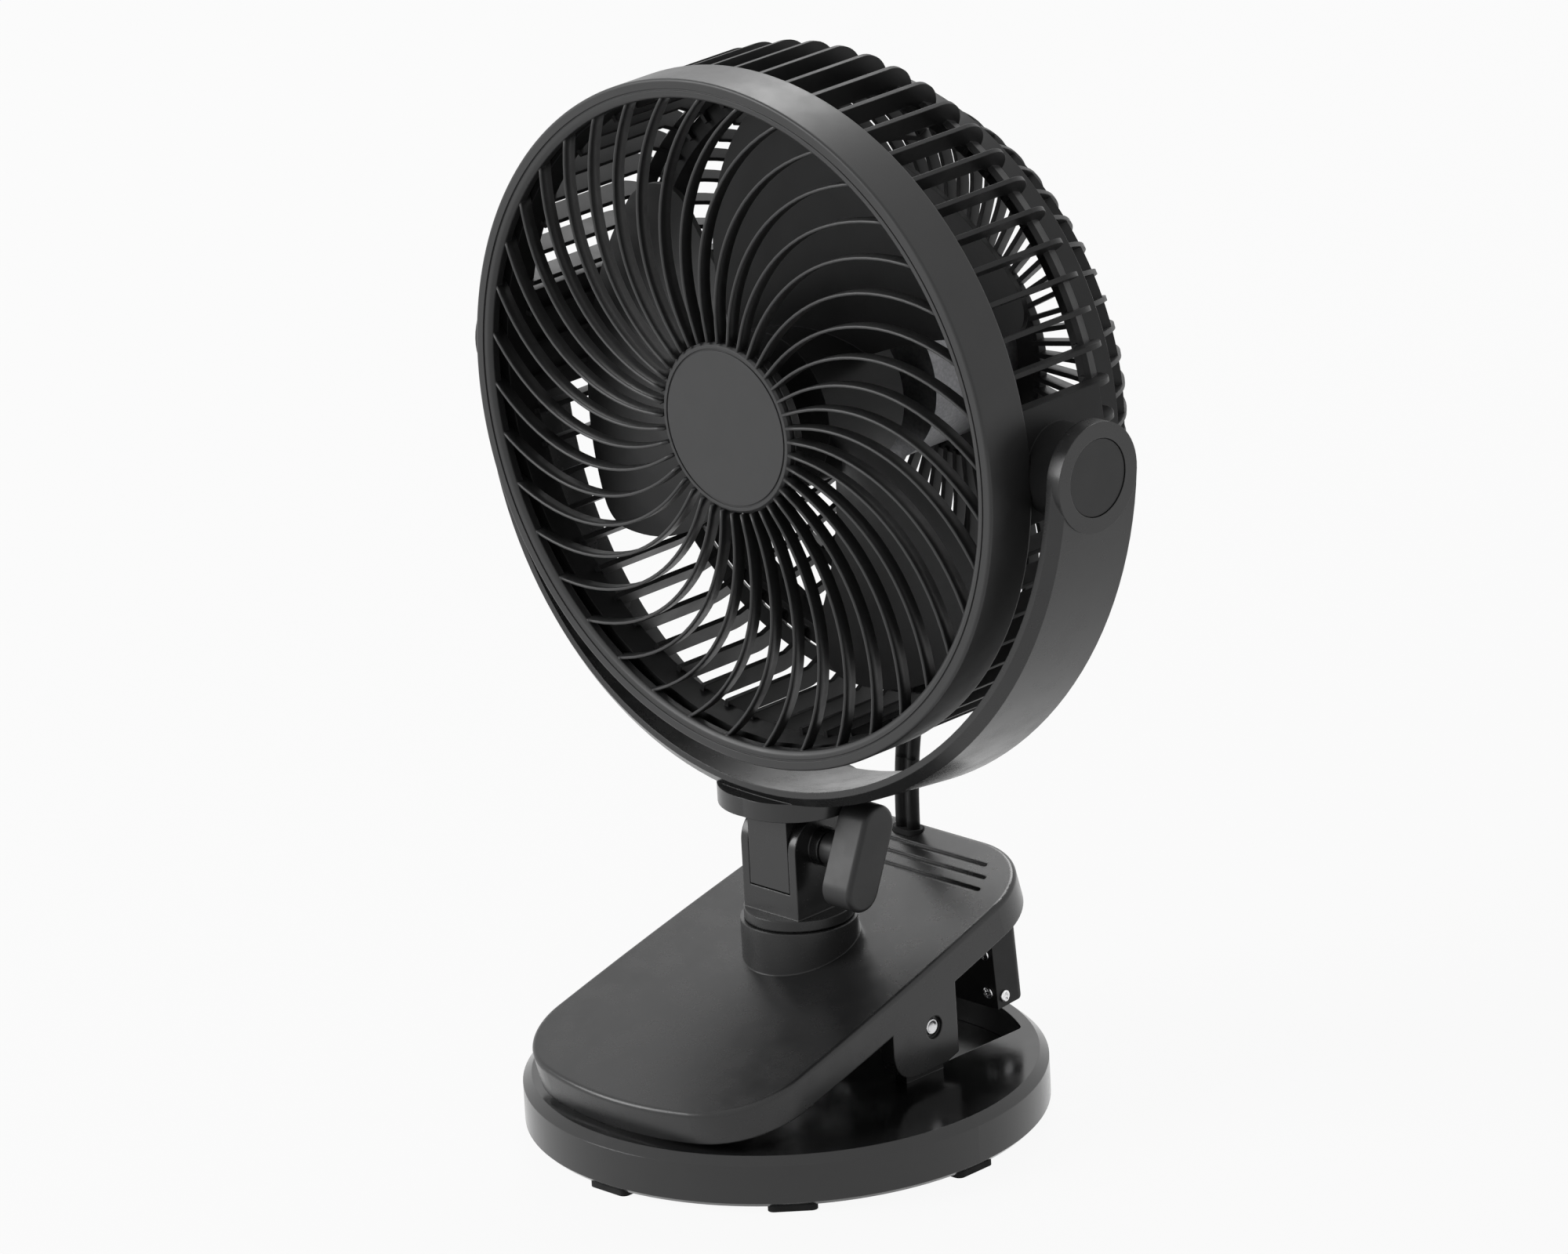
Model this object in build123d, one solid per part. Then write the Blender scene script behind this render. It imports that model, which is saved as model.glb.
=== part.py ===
from build123d import *
import os
from math import atan, cos, degrees, radians, sin, sqrt, tan

# Clip fan on a round base. Origin at the bottom centre of the feet, +Z up, the fan faces -Y.
# All lengths are millimetres and all angles degrees.

# ---------------------------------------------------------------- clearances
RUNNING = 0.05          # radial play of a pin or shaft in its bore
SLIP = 0.3              # gap between faces that move past each other
SEAT = 0.2              # gap round a loosely seated part

# ---------------------------------------------------------------- base disc
BASE_R = 80.0
FOOT_H = 2.0
BASE_SIDE_H = 13.2
BEVEL_W = 2.8
BEVEL_H = 2.5
BASE_EDGE_R = 1.3
BASE_WALL = 2.5
BASE_PLATE_T = 2.5
FOOT_COUNT = 8
FOOT_LENGTH = 15.0
FOOT_WIDTH = 6.4
FOOT_CORNER_R = 2.0
FOOT_RIM_GAP = 0.2      # between a foot and the rim's rounded lower edge
WINDOW_HALF = 41.5
WINDOW_FRONT_Y = 24.0
WINDOW_R = 73.6
WINDOW_CORNER_R = 3.0
BASE_SCREW_R = 1.5
BASE_SCREW_HEAD_R = 2.9
BASE_SCREW_HEAD_H = 1.6
BASE_SCREW_X = 48.0
BASE_SCREW_Y = 38.0
BASE_BOSS_R = 4.5

BASE_SIDE_TOP = FOOT_H + BASE_SIDE_H
BASE_TOP = BASE_SIDE_TOP + BEVEL_H
BASE_INNER_R = BASE_R - BASE_WALL

# ---------------------------------------------------------------- clip hinge
HINGE_Y = 14.8
HINGE_OVER_BASE = 16.9
PIN_R = 2.5
PIN_RECESS = 0.6
POST_T = 4.6
POST_R = 8.0
EAR_T = 4.4
EAR_OUT_X = 49.0
EAR_FRONT = 18.5        # from the pin to the ear's edges
EAR_REAR = 10.5
EAR_DROP = 12.7
EAR_FRONT_R = 9.0
EAR_REAR_R = 2.5
EAR_SINK_R = 3.6
EAR_SINK_D = 1.2
SPRING_WIRE_R = 0.9
SPRING_R = 4.0
SPRING_TURNS = 7
SPRING_PITCH = 2.2

HINGE_Z = BASE_TOP + HINGE_OVER_BASE
EAR_IN_X = EAR_OUT_X - EAR_T
POST_OUT_X = EAR_IN_X - SLIP
POST_IN_X = POST_OUT_X - POST_T

# ---------------------------------------------------------------- jaw
JAW_SLOPE = 0.275
JAW_OVER_HINGE = 15.7   # height of the jaw's top plane above the hinge, at the origin's axis
JAW_DEPTH = 10.9
JAW_WALL = 2.4
JAW_EDGE_R = 1.5
JAW_FRONT = 78.8        # along the sloping plate, from the origin's axis
JAW_FRONT_BOW = 11.4
JAW_FRONT_HALF = 50.9
JAW_FRONT_CORNER_R = 28.0
JAW_MID_HALF = 49.7
JAW_REAR = 74.7
JAW_REAR_HALF = 44.6
JAW_REAR_CORNER_R = 28.0
JAW_NOSE_GAP = 0.4
JAW_COVER_T = 1.8
GROOVE_SIZES = ((64.3, 28.7), (58.8, 33.1), (53.1, 35.8))   # place along the plate, half length
GROOVE_W = 2.0
GROOVE_D = 0.8
PAD_T = 1.6
PAD_HALF = 30.0
PAD_DEEP = 27.0
PAD_Y = -40.0
PAD_CORNER_R = 6.0
COVER_DROP = 0.6        # how far the cover's underside stays inside the skirt
BATTERY_LONG = 56.0
BATTERY_WIDE = 36.0
BATTERY_AT = -32.0
BATTERY_GAP = 0.3
BATTERY_R = 3.0

JAW_Z0 = HINGE_Z + JAW_OVER_HINGE
JAW_TILT = degrees(atan(JAW_SLOPE))
JAW = Plane(origin=(0, 0, JAW_Z0), x_dir=(1, 0, 0), z_dir=(0, -sin(radians(JAW_TILT)), cos(radians(JAW_TILT))))

# ---------------------------------------------------------------- case under the jaw's rear
CASE_HALF = 40.0
CASE_REAR_Y = 62.2
CASE_DEEP = 12.0
CASE_H = 28.1
CASE_OVER_JAW = 4.6     # the case's top over the jaw's top plane at the origin's axis
CASE_LEAN = 4.5
CASE_WALL = 1.8
CASE_EDGE_R = 3.0
CASE_DOOR_T = 1.2
CASE_DOOR_HALF = 36.0
CASE_DOOR_H = 13.5
CASE_SCREW_R = 1.9
CASE_SCREW_H = 1.0
CASE_SCREW_STEM_R = 0.9
CASE_SCREW_IN = 3.4     # from the case's side
CASE_SCREW_UP = (5.0, 17.8)
CASE_SIDE_SCREW_Y = 3.2 # from the case's front
CASE_SIDE_SCREW_UP = 3.4
BOARD_HALF = 30.0
BOARD_T = 1.2
BOARD_BACK = 4.6        # from the case's rear wall to the board
SOCKET_HALF = 4.4
SOCKET_H = 3.2
SOCKET_DROP = 4.6       # below the raised strip
SOCKET_DEEP = 3.0

CASE_TOP = JAW_Z0 + CASE_OVER_JAW
CASE_BOTTOM = CASE_TOP - CASE_H
CASE_FRONT_Y = CASE_REAR_Y - CASE_DEEP
CASE_DOOR_BOTTOM = CASE_TOP - CASE_DOOR_H

# ---------------------------------------------------------------- turret and neck
TURRET_Y = 9.3
BOSS_R = 18.0
BOSS_OVER_JAW = 11.5
BOSS_DEEP = 17.6
COLLAR_R = 16.8
COLLAR_H = 3.6
SPINDLE_R = 9.0
WASHER_R = 13.0
WASHER_T = 1.4
NECK_SCREW_R = 2.0
NECK_SCREW_HEAD_R = 3.6
NECK_SCREW_HEAD_H = 1.8

BOLT_OVER_COLLAR = 21.1
BOLT_R = 3.0
FORK_HALF = 11.3
FORK_HALF_DEPTH = 11.9
FORK_OVER_BOLT = 9.5
FORK_TOP_R = 9.4
SLOT_HALF = 8.4
TONGUE_R = 17.5
BOLT_COVER_R = 8.0
BOLT_COVER_H = 3.2
BOLT_BOSS_R = 6.0
BOLT_BOSS_H = 3.4

KNOB_IN_X = 21.0
KNOB_OUT_X = 32.0
KNOB_LONG = 33.4
KNOB_WIDE = 13.7
KNOB_LEAN = 23.0
KNOB_SHANK_R = 5.4
KNOB_EDGE_R = 1.6

BOSS_TOP = JAW_Z0 + BOSS_OVER_JAW
BOSS_BOTTOM = BOSS_TOP - BOSS_DEEP
COLLAR_TOP = BOSS_TOP + COLLAR_H
BOLT_Y = TURRET_Y
BOLT_Z = COLLAR_TOP + BOLT_OVER_COLLAR
FORK_TOP = BOLT_Z + FORK_OVER_BOLT

# ---------------------------------------------------------------- yoke
HEAD_R = 106.5
PIVOT_Y = 20.8
YOKE_GAP = 9.5          # between the head's band and the yoke's inner face
YOKE_WALL = 5.0
BAND_OVER_BOLT = 15.0   # from the bolt's axis to the yoke's lowest point
YOKE_WIDE = 33.6
YOKE_LEAN = 5.6
YOKE_CHAMFER = 3.0
STEM_PLATE_R = 20.3
STEM_PLATE_T = 6.0
STEM_SIDE_X = -4.6
STEM_INTO_BAND = 2.9
PIVOT_PIN_R = 4.0
CAP_R = 11.7
CAP_T = 1.6
CAP_INSET = 0.3

YOKE_INNER_R = HEAD_R + YOKE_GAP
YOKE_R = YOKE_INNER_R + YOKE_WALL
PIVOT_Z = BOLT_Z + BAND_OVER_BOLT + YOKE_R

# ---------------------------------------------------------------- head
HEAD_Z = PIVOT_Z
RING_WIDE = 6.2
RING_FRONT = -9.6
BAND_REAR = 8.0
BAND_WALL = 2.0
CAP_DISC_R = 26.3
CAP_DISC_FRONT = -10.7
CAP_DISC_T = 2.2
RIB_COUNT = 40
RIB_T = 1.0
RIB_DEPTH = 4.5
RIB_PHASE = 2.22
RIB_HUB_Y = -11.6       # front edge of the ribs at the middle and at the ring
RIB_RING_Y = -8.2
RIB_CROWN = 0.5
RIB_STRAIGHT_R = 34.0   # inside this the ribs run straight out
RIB_SWEEP = 25.5        # turn of a rib by the time it meets the ring
FIN_COUNT = 60
FIN_T = 1.5
FIN_PHASE = 4.7
FIN_STEP = 1.0          # from the band's outside to the fins' outside
FIN_DEEP = 7.0
FIN_CORNER_R = 11.0
REAR_FACE = 52.3
HOOP_INSET = 10.3       # from the fins' outside to the hoop's
HOOP_WIDE = 5.7
HOOP_REAR = 59.5
DOME_ARC_R = 46.0
DOME_STEP = 1.2         # from the hoop's outside to the dome's
DOME_CENTRE_Y = 45.0
REAR_DISC_R = 36.0
REAR_DISC_T = 3.0
DOME_RIB_DEPTH = 4.0
DOME_RIB_START = 17.0   # angle on the dome's arc
DOME_HOOP_ANGLES = (37.5, 65.0)
PIVOT_PLATE_ANGLES = (-8.0, 11.0)
PIVOT_BOSS_R = 14.0
PIVOT_BOSS_END = sqrt(YOKE_INNER_R ** 2 - PIVOT_BOSS_R ** 2) - SLIP

RING_IN_R = HEAD_R - RING_WIDE
FIN_OUT_R = HEAD_R - FIN_STEP
FIN_IN_R = FIN_OUT_R - FIN_DEEP
HOOP_R = FIN_OUT_R - HOOP_INSET
HOOP_IN_R = HOOP_R - HOOP_WIDE
DOME_CENTRE_R = HOOP_R - DOME_STEP - DOME_ARC_R
RIM_R = HEAD_R - BAND_WALL - SEAT
DOME_REAR = DOME_CENTRE_Y + DOME_ARC_R
REAR_DISC_FRONT = DOME_REAR - REAR_DISC_T

# ---------------------------------------------------------------- motor and impeller
MOTOR_R = 27.0
MOTOR_FRONT = 52.0
MOTOR_WALL = 1.6
STATOR_R = 17.0
STATOR_LENGTH = 13.0
ROTOR_GAP = 0.6
MOTOR_FRAME_BACK = 9.0
MOTOR_FRAME_T = 2.0
BEARING_TUBE = 5.0
BEARING_WALL = 1.6
SHAFT_R = 2.0
BEARING_R = 6.5
BEARING_W = 5.0
HUB_R = 25.0
HUB_FRONT = 8.0
HUB_REAR = 40.0
HUB_WALL = 2.2
HUB_CORE_R = 6.0
BLADE_COUNT = 3
BLADE_TIP_GAP = 6.0     # between the blades' tips and the rear guard's fins
BLADE_T = 1.8
BLADE_FRONT = 8.0
BLADE_RISE = 30.0       # from a blade's leading edge to its trailing edge, along the axis
BLADE_SPAN = 100.0      # angle that the blade's helix covers
BLADE_PHASE = 118.0     # place of the first leading edge at the hub
BLADE_LEAD_SWEEP = 24.0 # how far the leading edge leans back at the tip
BLADE_TRAIL_SWEEP = 20.0
BLADE_CORNER_R = 13.0
BLADE_STATIONS = 8
NUT_R = 5.0
NUT_T = 4.0

DIAL_R = 15.0
DIAL_STEM_R = 3.0
DIAL_H = 10.0
DIAL_FLUTES = 24

BLADE_TIP_R = FIN_IN_R - BLADE_TIP_GAP
FRAME_Y = REAR_DISC_FRONT - MOTOR_FRAME_BACK
STATOR_Y = MOTOR_FRONT + BEARING_W + 2.4

# ---------------------------------------------------------------- lead
LEAD_R = 2.0
LEAD_X = -9.5
LEAD_STRAND_GAP = 4.9
LEAD_WEB_T = 1.2
LEAD_JAW_Y = 67.8
LEAD_HEAD_DROP = 32.5
GLAND_WALL = 1.0
GLAND_OUT = 4.0
JAW_GLAND_OUT = 0.8
JAW_GLAND_UNDER = 1.2   # below the jaw's plate
SPLIT_LOW = 5.5         # the lead's joints, over the bolt's axis
SPLIT_HIGH = 50.5

LEAD_HEAD_Z = HEAD_Z - LEAD_HEAD_DROP
SPLIT_LOW_Z = BOLT_Z + SPLIT_LOW
SPLIT_HIGH_Z = BOLT_Z + SPLIT_HIGH

C = Align.CENTER
LOW = (C, C, Align.MIN)


def rod_x(radius, x0, x1, y, z):
    return Pos(x0, y, z) * Rot(0, 90, 0) * Cylinder(radius, x1 - x0, align=LOW)


def rod_y(radius, y0, y1, x=0, z=0):
    return Pos(x, y0, z) * Rot(-90, 0, 0) * Cylinder(radius, y1 - y0, align=LOW)


def rod_z(radius, z0, z1, x=0, y=0):
    return Pos(x, y, z0) * Cylinder(radius, z1 - z0, align=LOW)


def block(x0, x1, y0, y1, z0, z1):
    return Pos((x0 + x1) / 2, (y0 + y1) / 2, z0) * Box(x1 - x0, y1 - y0, z1 - z0, align=LOW)


def turned_y(points):
    """A ring turned about the head's axis, from (radius, y) points."""
    return revolve(make_face(Polyline(*points, close=True)), Axis.Y)


def turned_z(points):
    """A ring turned about the vertical, from (radius, z) points."""
    profile = Plane.XZ * make_face(Polyline(*points, close=True))
    return revolve(profile, Axis.Z)


def both_sides(shape):
    return shape, mirror(shape, about=Plane.YZ)


def on_head(shape):
    return Pos(0, 0, HEAD_Z) * shape


def save(name, *shapes):
    solids = [s for shape in shapes for s in shape.solids()]
    group = solids[0] if len(solids) == 1 else Compound(children=solids)
    export_step(group, f"parts/{name}.step")
    print(f"{name:22s} solids {len(solids):3d}  volume {sum(s.volume for s in solids) / 1000:9.2f} cm3")


# ================================================================ base
def window_sketch():
    bounds = Pos(0, (WINDOW_FRONT_Y + BASE_R) / 2) * Rectangle(2 * WINDOW_HALF, BASE_R - WINDOW_FRONT_Y)
    opening = bounds & Circle(WINDOW_R)
    return fillet(opening.vertices(), WINDOW_CORNER_R)


def screw_spots():
    return [(sx * BASE_SCREW_X, sy * BASE_SCREW_Y) for sx in (-1, 1) for sy in (-1, 1)]


def base_shell():
    outer_top_r = BASE_R - BEVEL_W
    shell = turned_z([
        (0, BASE_TOP), (outer_top_r, BASE_TOP), (BASE_R, BASE_SIDE_TOP), (BASE_R, FOOT_H + BASE_EDGE_R),
        (BASE_R - BASE_EDGE_R, FOOT_H), (BASE_INNER_R, FOOT_H), (BASE_INNER_R, BASE_SIDE_TOP - BASE_WALL),
        (BASE_INNER_R - BEVEL_W, BASE_TOP - BASE_WALL), (0, BASE_TOP - BASE_WALL)])
    shell -= extrude(Pos(0, 0, BASE_TOP - 2 * BASE_WALL) * window_sketch(), amount=3 * BASE_WALL)
    for side in (-1, 1):
        middle = side * (POST_IN_X + POST_OUT_X) / 2
        post = block(middle - POST_T / 2, middle + POST_T / 2, HINGE_Y - POST_R, HINGE_Y + POST_R,
                     BASE_TOP - 1, HINGE_Z)
        post += rod_x(POST_R, middle - POST_T / 2, middle + POST_T / 2, HINGE_Y, HINGE_Z)
        post -= rod_x(PIN_R + RUNNING, middle - POST_T, middle + POST_T, HINGE_Y, HINGE_Z)
        shell += post
    plate_top = FOOT_H + BASE_PLATE_T
    for x, y in screw_spots():
        boss = rod_z(BASE_BOSS_R, plate_top, BASE_TOP - BASE_WALL + 0.5, x, y)
        shell += boss - rod_z(BASE_SCREW_R, plate_top - 1, BASE_TOP - BASE_WALL - 1.5, x, y)
    return shell


def base_plate():
    plate = rod_z(BASE_INNER_R - SEAT, FOOT_H, FOOT_H + BASE_PLATE_T)
    for x, y in screw_spots():
        plate -= rod_z(BASE_SCREW_R + SEAT, FOOT_H - 1, FOOT_H + BASE_PLATE_T + 1, x, y)
        plate -= rod_z(BASE_SCREW_HEAD_R + SEAT, FOOT_H - 1, FOOT_H + BASE_SCREW_HEAD_H, x, y)
    return plate


def base_screws():
    screws = []
    for x, y in screw_spots():
        head = rod_z(BASE_SCREW_HEAD_R, FOOT_H + SEAT, FOOT_H + BASE_SCREW_HEAD_H, x, y)
        screws.append(head + rod_z(BASE_SCREW_R - RUNNING, FOOT_H + SEAT, BASE_TOP - BASE_WALL - 2.5, x, y))
    return screws


def base_feet():
    foot_r = BASE_R - BASE_EDGE_R - FOOT_RIM_GAP - FOOT_WIDTH / 2
    foot = Pos(foot_r, 0, 0) * Box(FOOT_WIDTH, FOOT_LENGTH, FOOT_H, align=LOW)
    foot = fillet(foot.edges().filter_by(Axis.Z), FOOT_CORNER_R)
    return [Rot(0, 0, k * 360 / FOOT_COUNT) * foot for k in range(FOOT_COUNT)]


def base_grip_pad():
    pad = block(-PAD_HALF, PAD_HALF, PAD_Y - PAD_DEEP / 2, PAD_Y + PAD_DEEP / 2, BASE_TOP, BASE_TOP + PAD_T)
    return fillet(pad.edges().filter_by(Axis.Z), PAD_CORNER_R)


# ================================================================ clip hinge
def hinge_pin():
    end = EAR_OUT_X - PIN_RECESS
    return rod_x(PIN_R, -end, end, HINGE_Y, HINGE_Z)


def clip_spring():
    """Torsion spring round the hinge pin, as a closed coil sleeve with its two legs."""
    half = SPRING_TURNS * SPRING_PITCH / 2
    coil = rod_x(SPRING_R + SPRING_WIRE_R, -half, half, HINGE_Y, HINGE_Z)
    for k in range(SPRING_TURNS - 1):
        x = -half + (k + 1) * SPRING_PITCH
        groove = rod_x(SPRING_R + 2, x - 0.25, x + 0.25, HINGE_Y, HINGE_Z)
        coil -= groove - rod_x(SPRING_R, x - 1, x + 1, HINGE_Y, HINGE_Z)
    coil -= rod_x(SPRING_R - SPRING_WIRE_R, -half - 1, half + 1, HINGE_Y, HINGE_Z)
    leg_x = half - SPRING_WIRE_R
    leg_y = HINGE_Y - SPRING_R
    return coil + rod_z(SPRING_WIRE_R, BASE_TOP, HINGE_Z, leg_x, leg_y)


# ================================================================ jaw
def jaw_outline(inset=0.0):
    """The jaw's outline on its sloping plate, or one inset by a wall."""
    front, rear = JAW_FRONT - inset, JAW_REAR - inset
    front_corner = front - JAW_FRONT_BOW
    front_half, middle_half, rear_half = JAW_FRONT_HALF - inset, JAW_MID_HALF - inset, JAW_REAR_HALF - inset
    corners = [(-front_half, -front_corner), (front_half, -front_corner), (rear_half, rear), (-rear_half, rear)]
    face = make_face([
        ThreePointArc(corners[0], (0, -front), corners[1]),
        ThreePointArc(corners[1], (middle_half, 0), corners[2]),
        Line(corners[2], corners[3]),
        ThreePointArc(corners[3], (-middle_half, 0), corners[0]),
    ])
    face = fillet(face.vertices().sort_by(Axis.Y)[-2:], JAW_REAR_CORNER_R - inset)
    return fillet(face.vertices().sort_by(Axis.Y)[:2], JAW_FRONT_CORNER_R - inset)


def on_jaw(shape):
    return JAW.location * shape


def turret_hole(radius):
    return rod_z(radius, 0, 120, 0, TURRET_Y)


def lean_case(shape):
    """Turns an upright piece of the case to its lean, about its top rear edge."""
    return Pos(0, CASE_REAR_Y, CASE_TOP) * Rot(CASE_LEAN, 0, 0) * Pos(0, -CASE_REAR_Y, -CASE_TOP) * shape


def case_cut(grow):
    """The room that the case takes inside the jaw."""
    return lean_case(block(-CASE_HALF - grow, CASE_HALF + grow, CASE_FRONT_Y - grow, CASE_REAR_Y + grow,
                           CASE_BOTTOM, CASE_TOP + grow))


def ear(side):
    """Side ear that hangs from the skirt and takes the hinge pin, flush with the jaw's outline."""
    x0, x1 = sorted((side * EAR_IN_X, side * (EAR_OUT_X + EAR_T)))
    top = jaw_top_z(HINGE_Y - EAR_FRONT) - JAW_WALL
    plate = block(x0, x1, HINGE_Y - EAR_FRONT, HINGE_Y + EAR_REAR, HINGE_Z - EAR_DROP, top)
    low = plate.edges().filter_by(Axis.X).group_by(Axis.Z)[0].sort_by(Axis.Y)
    plate = fillet(low[0], EAR_FRONT_R)
    low = plate.edges().filter_by(Axis.X).group_by(Axis.Z)[0].sort_by(Axis.Y)
    plate = fillet(low[-1], EAR_REAR_R)
    plate &= on_jaw(extrude(jaw_outline(), amount=-(JAW_Z0 - BASE_TOP), both=True))
    sink0, sink1 = sorted((side * (EAR_OUT_X - EAR_SINK_D), side * (EAR_OUT_X + EAR_T)))
    plate -= rod_x(EAR_SINK_R, sink0, sink1, HINGE_Y, HINGE_Z)
    return plate - rod_x(PIN_R + RUNNING, x0 - 1, x1 + 1, HINGE_Y, HINGE_Z)


def upper_jaw():
    body = extrude(jaw_outline(), amount=-JAW_DEPTH)
    top_edges = body.edges().filter_by_position(Axis.Z, -0.01, 0.01)
    body = fillet(top_edges, JAW_EDGE_R)
    body -= Pos(0, 0, -JAW_WALL) * extrude(jaw_outline(JAW_WALL), amount=-JAW_DEPTH)
    for along, half in GROOVE_SIZES:
        body -= Pos(0, along, -GROOVE_D) * extrude(SlotOverall(2 * half, GROOVE_W), amount=2)
    body = on_jaw(body)
    body -= block(-100, 100, -100, 0, 0, BASE_TOP + JAW_NOSE_GAP)
    for side in (-1, 1):
        body += ear(side)
    boss = rod_z(BOSS_R, BOSS_BOTTOM, BOSS_TOP, 0, TURRET_Y)
    body += boss
    body -= turret_hole(SPINDLE_R + RUNNING)
    body -= Pos(LEAD_X, LEAD_JAW_Y, jaw_gland_z() - SEAT) * extrude(gland_shape(SEAT), amount=JAW_DEPTH)
    return body


def jaw_cover():
    """Plate that closes the jaw from below, inside its skirt."""
    plate = Pos(0, 0, COVER_DROP - JAW_DEPTH) * extrude(jaw_outline(JAW_WALL + SEAT), amount=JAW_COVER_T)
    plate = on_jaw(plate)
    plate -= block(-100, 100, -100, 0, 0, BASE_TOP + JAW_NOSE_GAP + 2)
    plate -= case_cut(SEAT)
    plate -= rod_z(WASHER_R + 1, 20, BOSS_BOTTOM, 0, TURRET_Y)
    plate -= rod_z(BOSS_R + SEAT, BOSS_BOTTOM - SEAT, BOSS_TOP, 0, TURRET_Y)
    for side in (-1, 1):
        x0, x1 = sorted((side * (POST_IN_X - 1), side * (EAR_OUT_X + 1)))
        plate -= block(x0, x1, HINGE_Y - EAR_FRONT - 1, HINGE_Y + EAR_REAR + 4, BASE_TOP, JAW_Z0 + JAW_DEPTH)
    return plate


def jaw_grip_pad():
    """Rubber pad under the jaw's nose, on the cover plate."""
    pad = extrude(Pos(0, PAD_Y) * RectangleRounded(2 * PAD_HALF, PAD_DEEP, PAD_CORNER_R), amount=-PAD_T)
    return on_jaw(Pos(0, 0, COVER_DROP - JAW_DEPTH) * pad)


def battery_pack():
    deep = JAW_DEPTH - JAW_WALL - JAW_COVER_T - COVER_DROP - 2 * BATTERY_GAP
    cell = Box(BATTERY_LONG, BATTERY_WIDE, deep, align=(C, C, Align.MAX))
    cell = fillet(cell.edges().filter_by(Axis.Z), BATTERY_R)
    return on_jaw(Pos(0, BATTERY_AT, -JAW_WALL - BATTERY_GAP) * cell)


def case_screw_spots():
    return [(side * (CASE_HALF - CASE_SCREW_IN), CASE_BOTTOM + up) for up in CASE_SCREW_UP for side in (-1, 1)]


def case_screws_upright(stem_r, out):
    """Screws in the case's front face and in its two sides, or the holes for their stems."""
    screws = []
    for x, z in case_screw_spots():
        stem = rod_y(stem_r, CASE_FRONT_Y - out, CASE_FRONT_Y + CASE_WALL, x, z)
        screws.append(stem + rod_y(CASE_SCREW_R, CASE_FRONT_Y - CASE_SCREW_H, CASE_FRONT_Y, x, z) if not out else stem)
    for side in (-1, 1):
        face = side * CASE_HALF
        place = (CASE_FRONT_Y + CASE_SIDE_SCREW_Y, CASE_BOTTOM + CASE_SIDE_SCREW_UP)
        stem = rod_x(stem_r, *sorted((face + side * out, face - side * CASE_WALL)), *place)
        screws.append(stem + rod_x(CASE_SCREW_R, *sorted((face, face + side * CASE_SCREW_H)), *place) if not out else stem)
    return screws


def charge_case():
    case = block(-CASE_HALF, CASE_HALF, CASE_FRONT_Y, CASE_REAR_Y, CASE_BOTTOM, CASE_TOP)
    lower = case.edges().filter_by(Axis.X).sort_by(Axis.Z)[:2].sort_by(Axis.Y)[-1]
    case = fillet([lower, *case.edges().filter_by(Axis.Z).sort_by(Axis.Y)[-2:]], CASE_EDGE_R)
    case -= block(-CASE_HALF + CASE_WALL, CASE_HALF - CASE_WALL, CASE_FRONT_Y + CASE_WALL, CASE_REAR_Y - CASE_WALL,
                  CASE_BOTTOM + CASE_WALL, CASE_TOP + 1)
    case -= block(-SOCKET_HALF - SEAT, SOCKET_HALF + SEAT, CASE_REAR_Y - 2 * CASE_WALL, CASE_REAR_Y + 1,
                  CASE_DOOR_BOTTOM - SOCKET_DROP - SOCKET_H - SEAT, CASE_DOOR_BOTTOM - SOCKET_DROP + SEAT)
    for hole in case_screws_upright(CASE_SCREW_STEM_R, 1.0):
        case -= hole
    return lean_case(case)


def case_door():
    """Raised strip on the case's rear face."""
    strip = block(-CASE_DOOR_HALF, CASE_DOOR_HALF, CASE_REAR_Y, CASE_REAR_Y + CASE_DOOR_T, CASE_DOOR_BOTTOM,
                  CASE_TOP)
    return lean_case(strip)


def case_screws():
    return [lean_case(screw) for screw in case_screws_upright(CASE_SCREW_STEM_R - RUNNING, 0.0)]


def circuit_board():
    y = CASE_REAR_Y - CASE_WALL - BOARD_BACK
    return lean_case(block(-BOARD_HALF, BOARD_HALF, y, y + BOARD_T, CASE_BOTTOM + CASE_WALL, CASE_TOP - 2 * CASE_WALL))


def charge_socket():
    """Socket on the board's rear face, in the opening of the case's rear wall."""
    y = CASE_REAR_Y - CASE_WALL - BOARD_BACK + BOARD_T
    top = CASE_DOOR_BOTTOM - SOCKET_DROP
    return lean_case(block(-SOCKET_HALF, SOCKET_HALF, y, y + SOCKET_DEEP + CASE_WALL, top - SOCKET_H, top))


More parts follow.
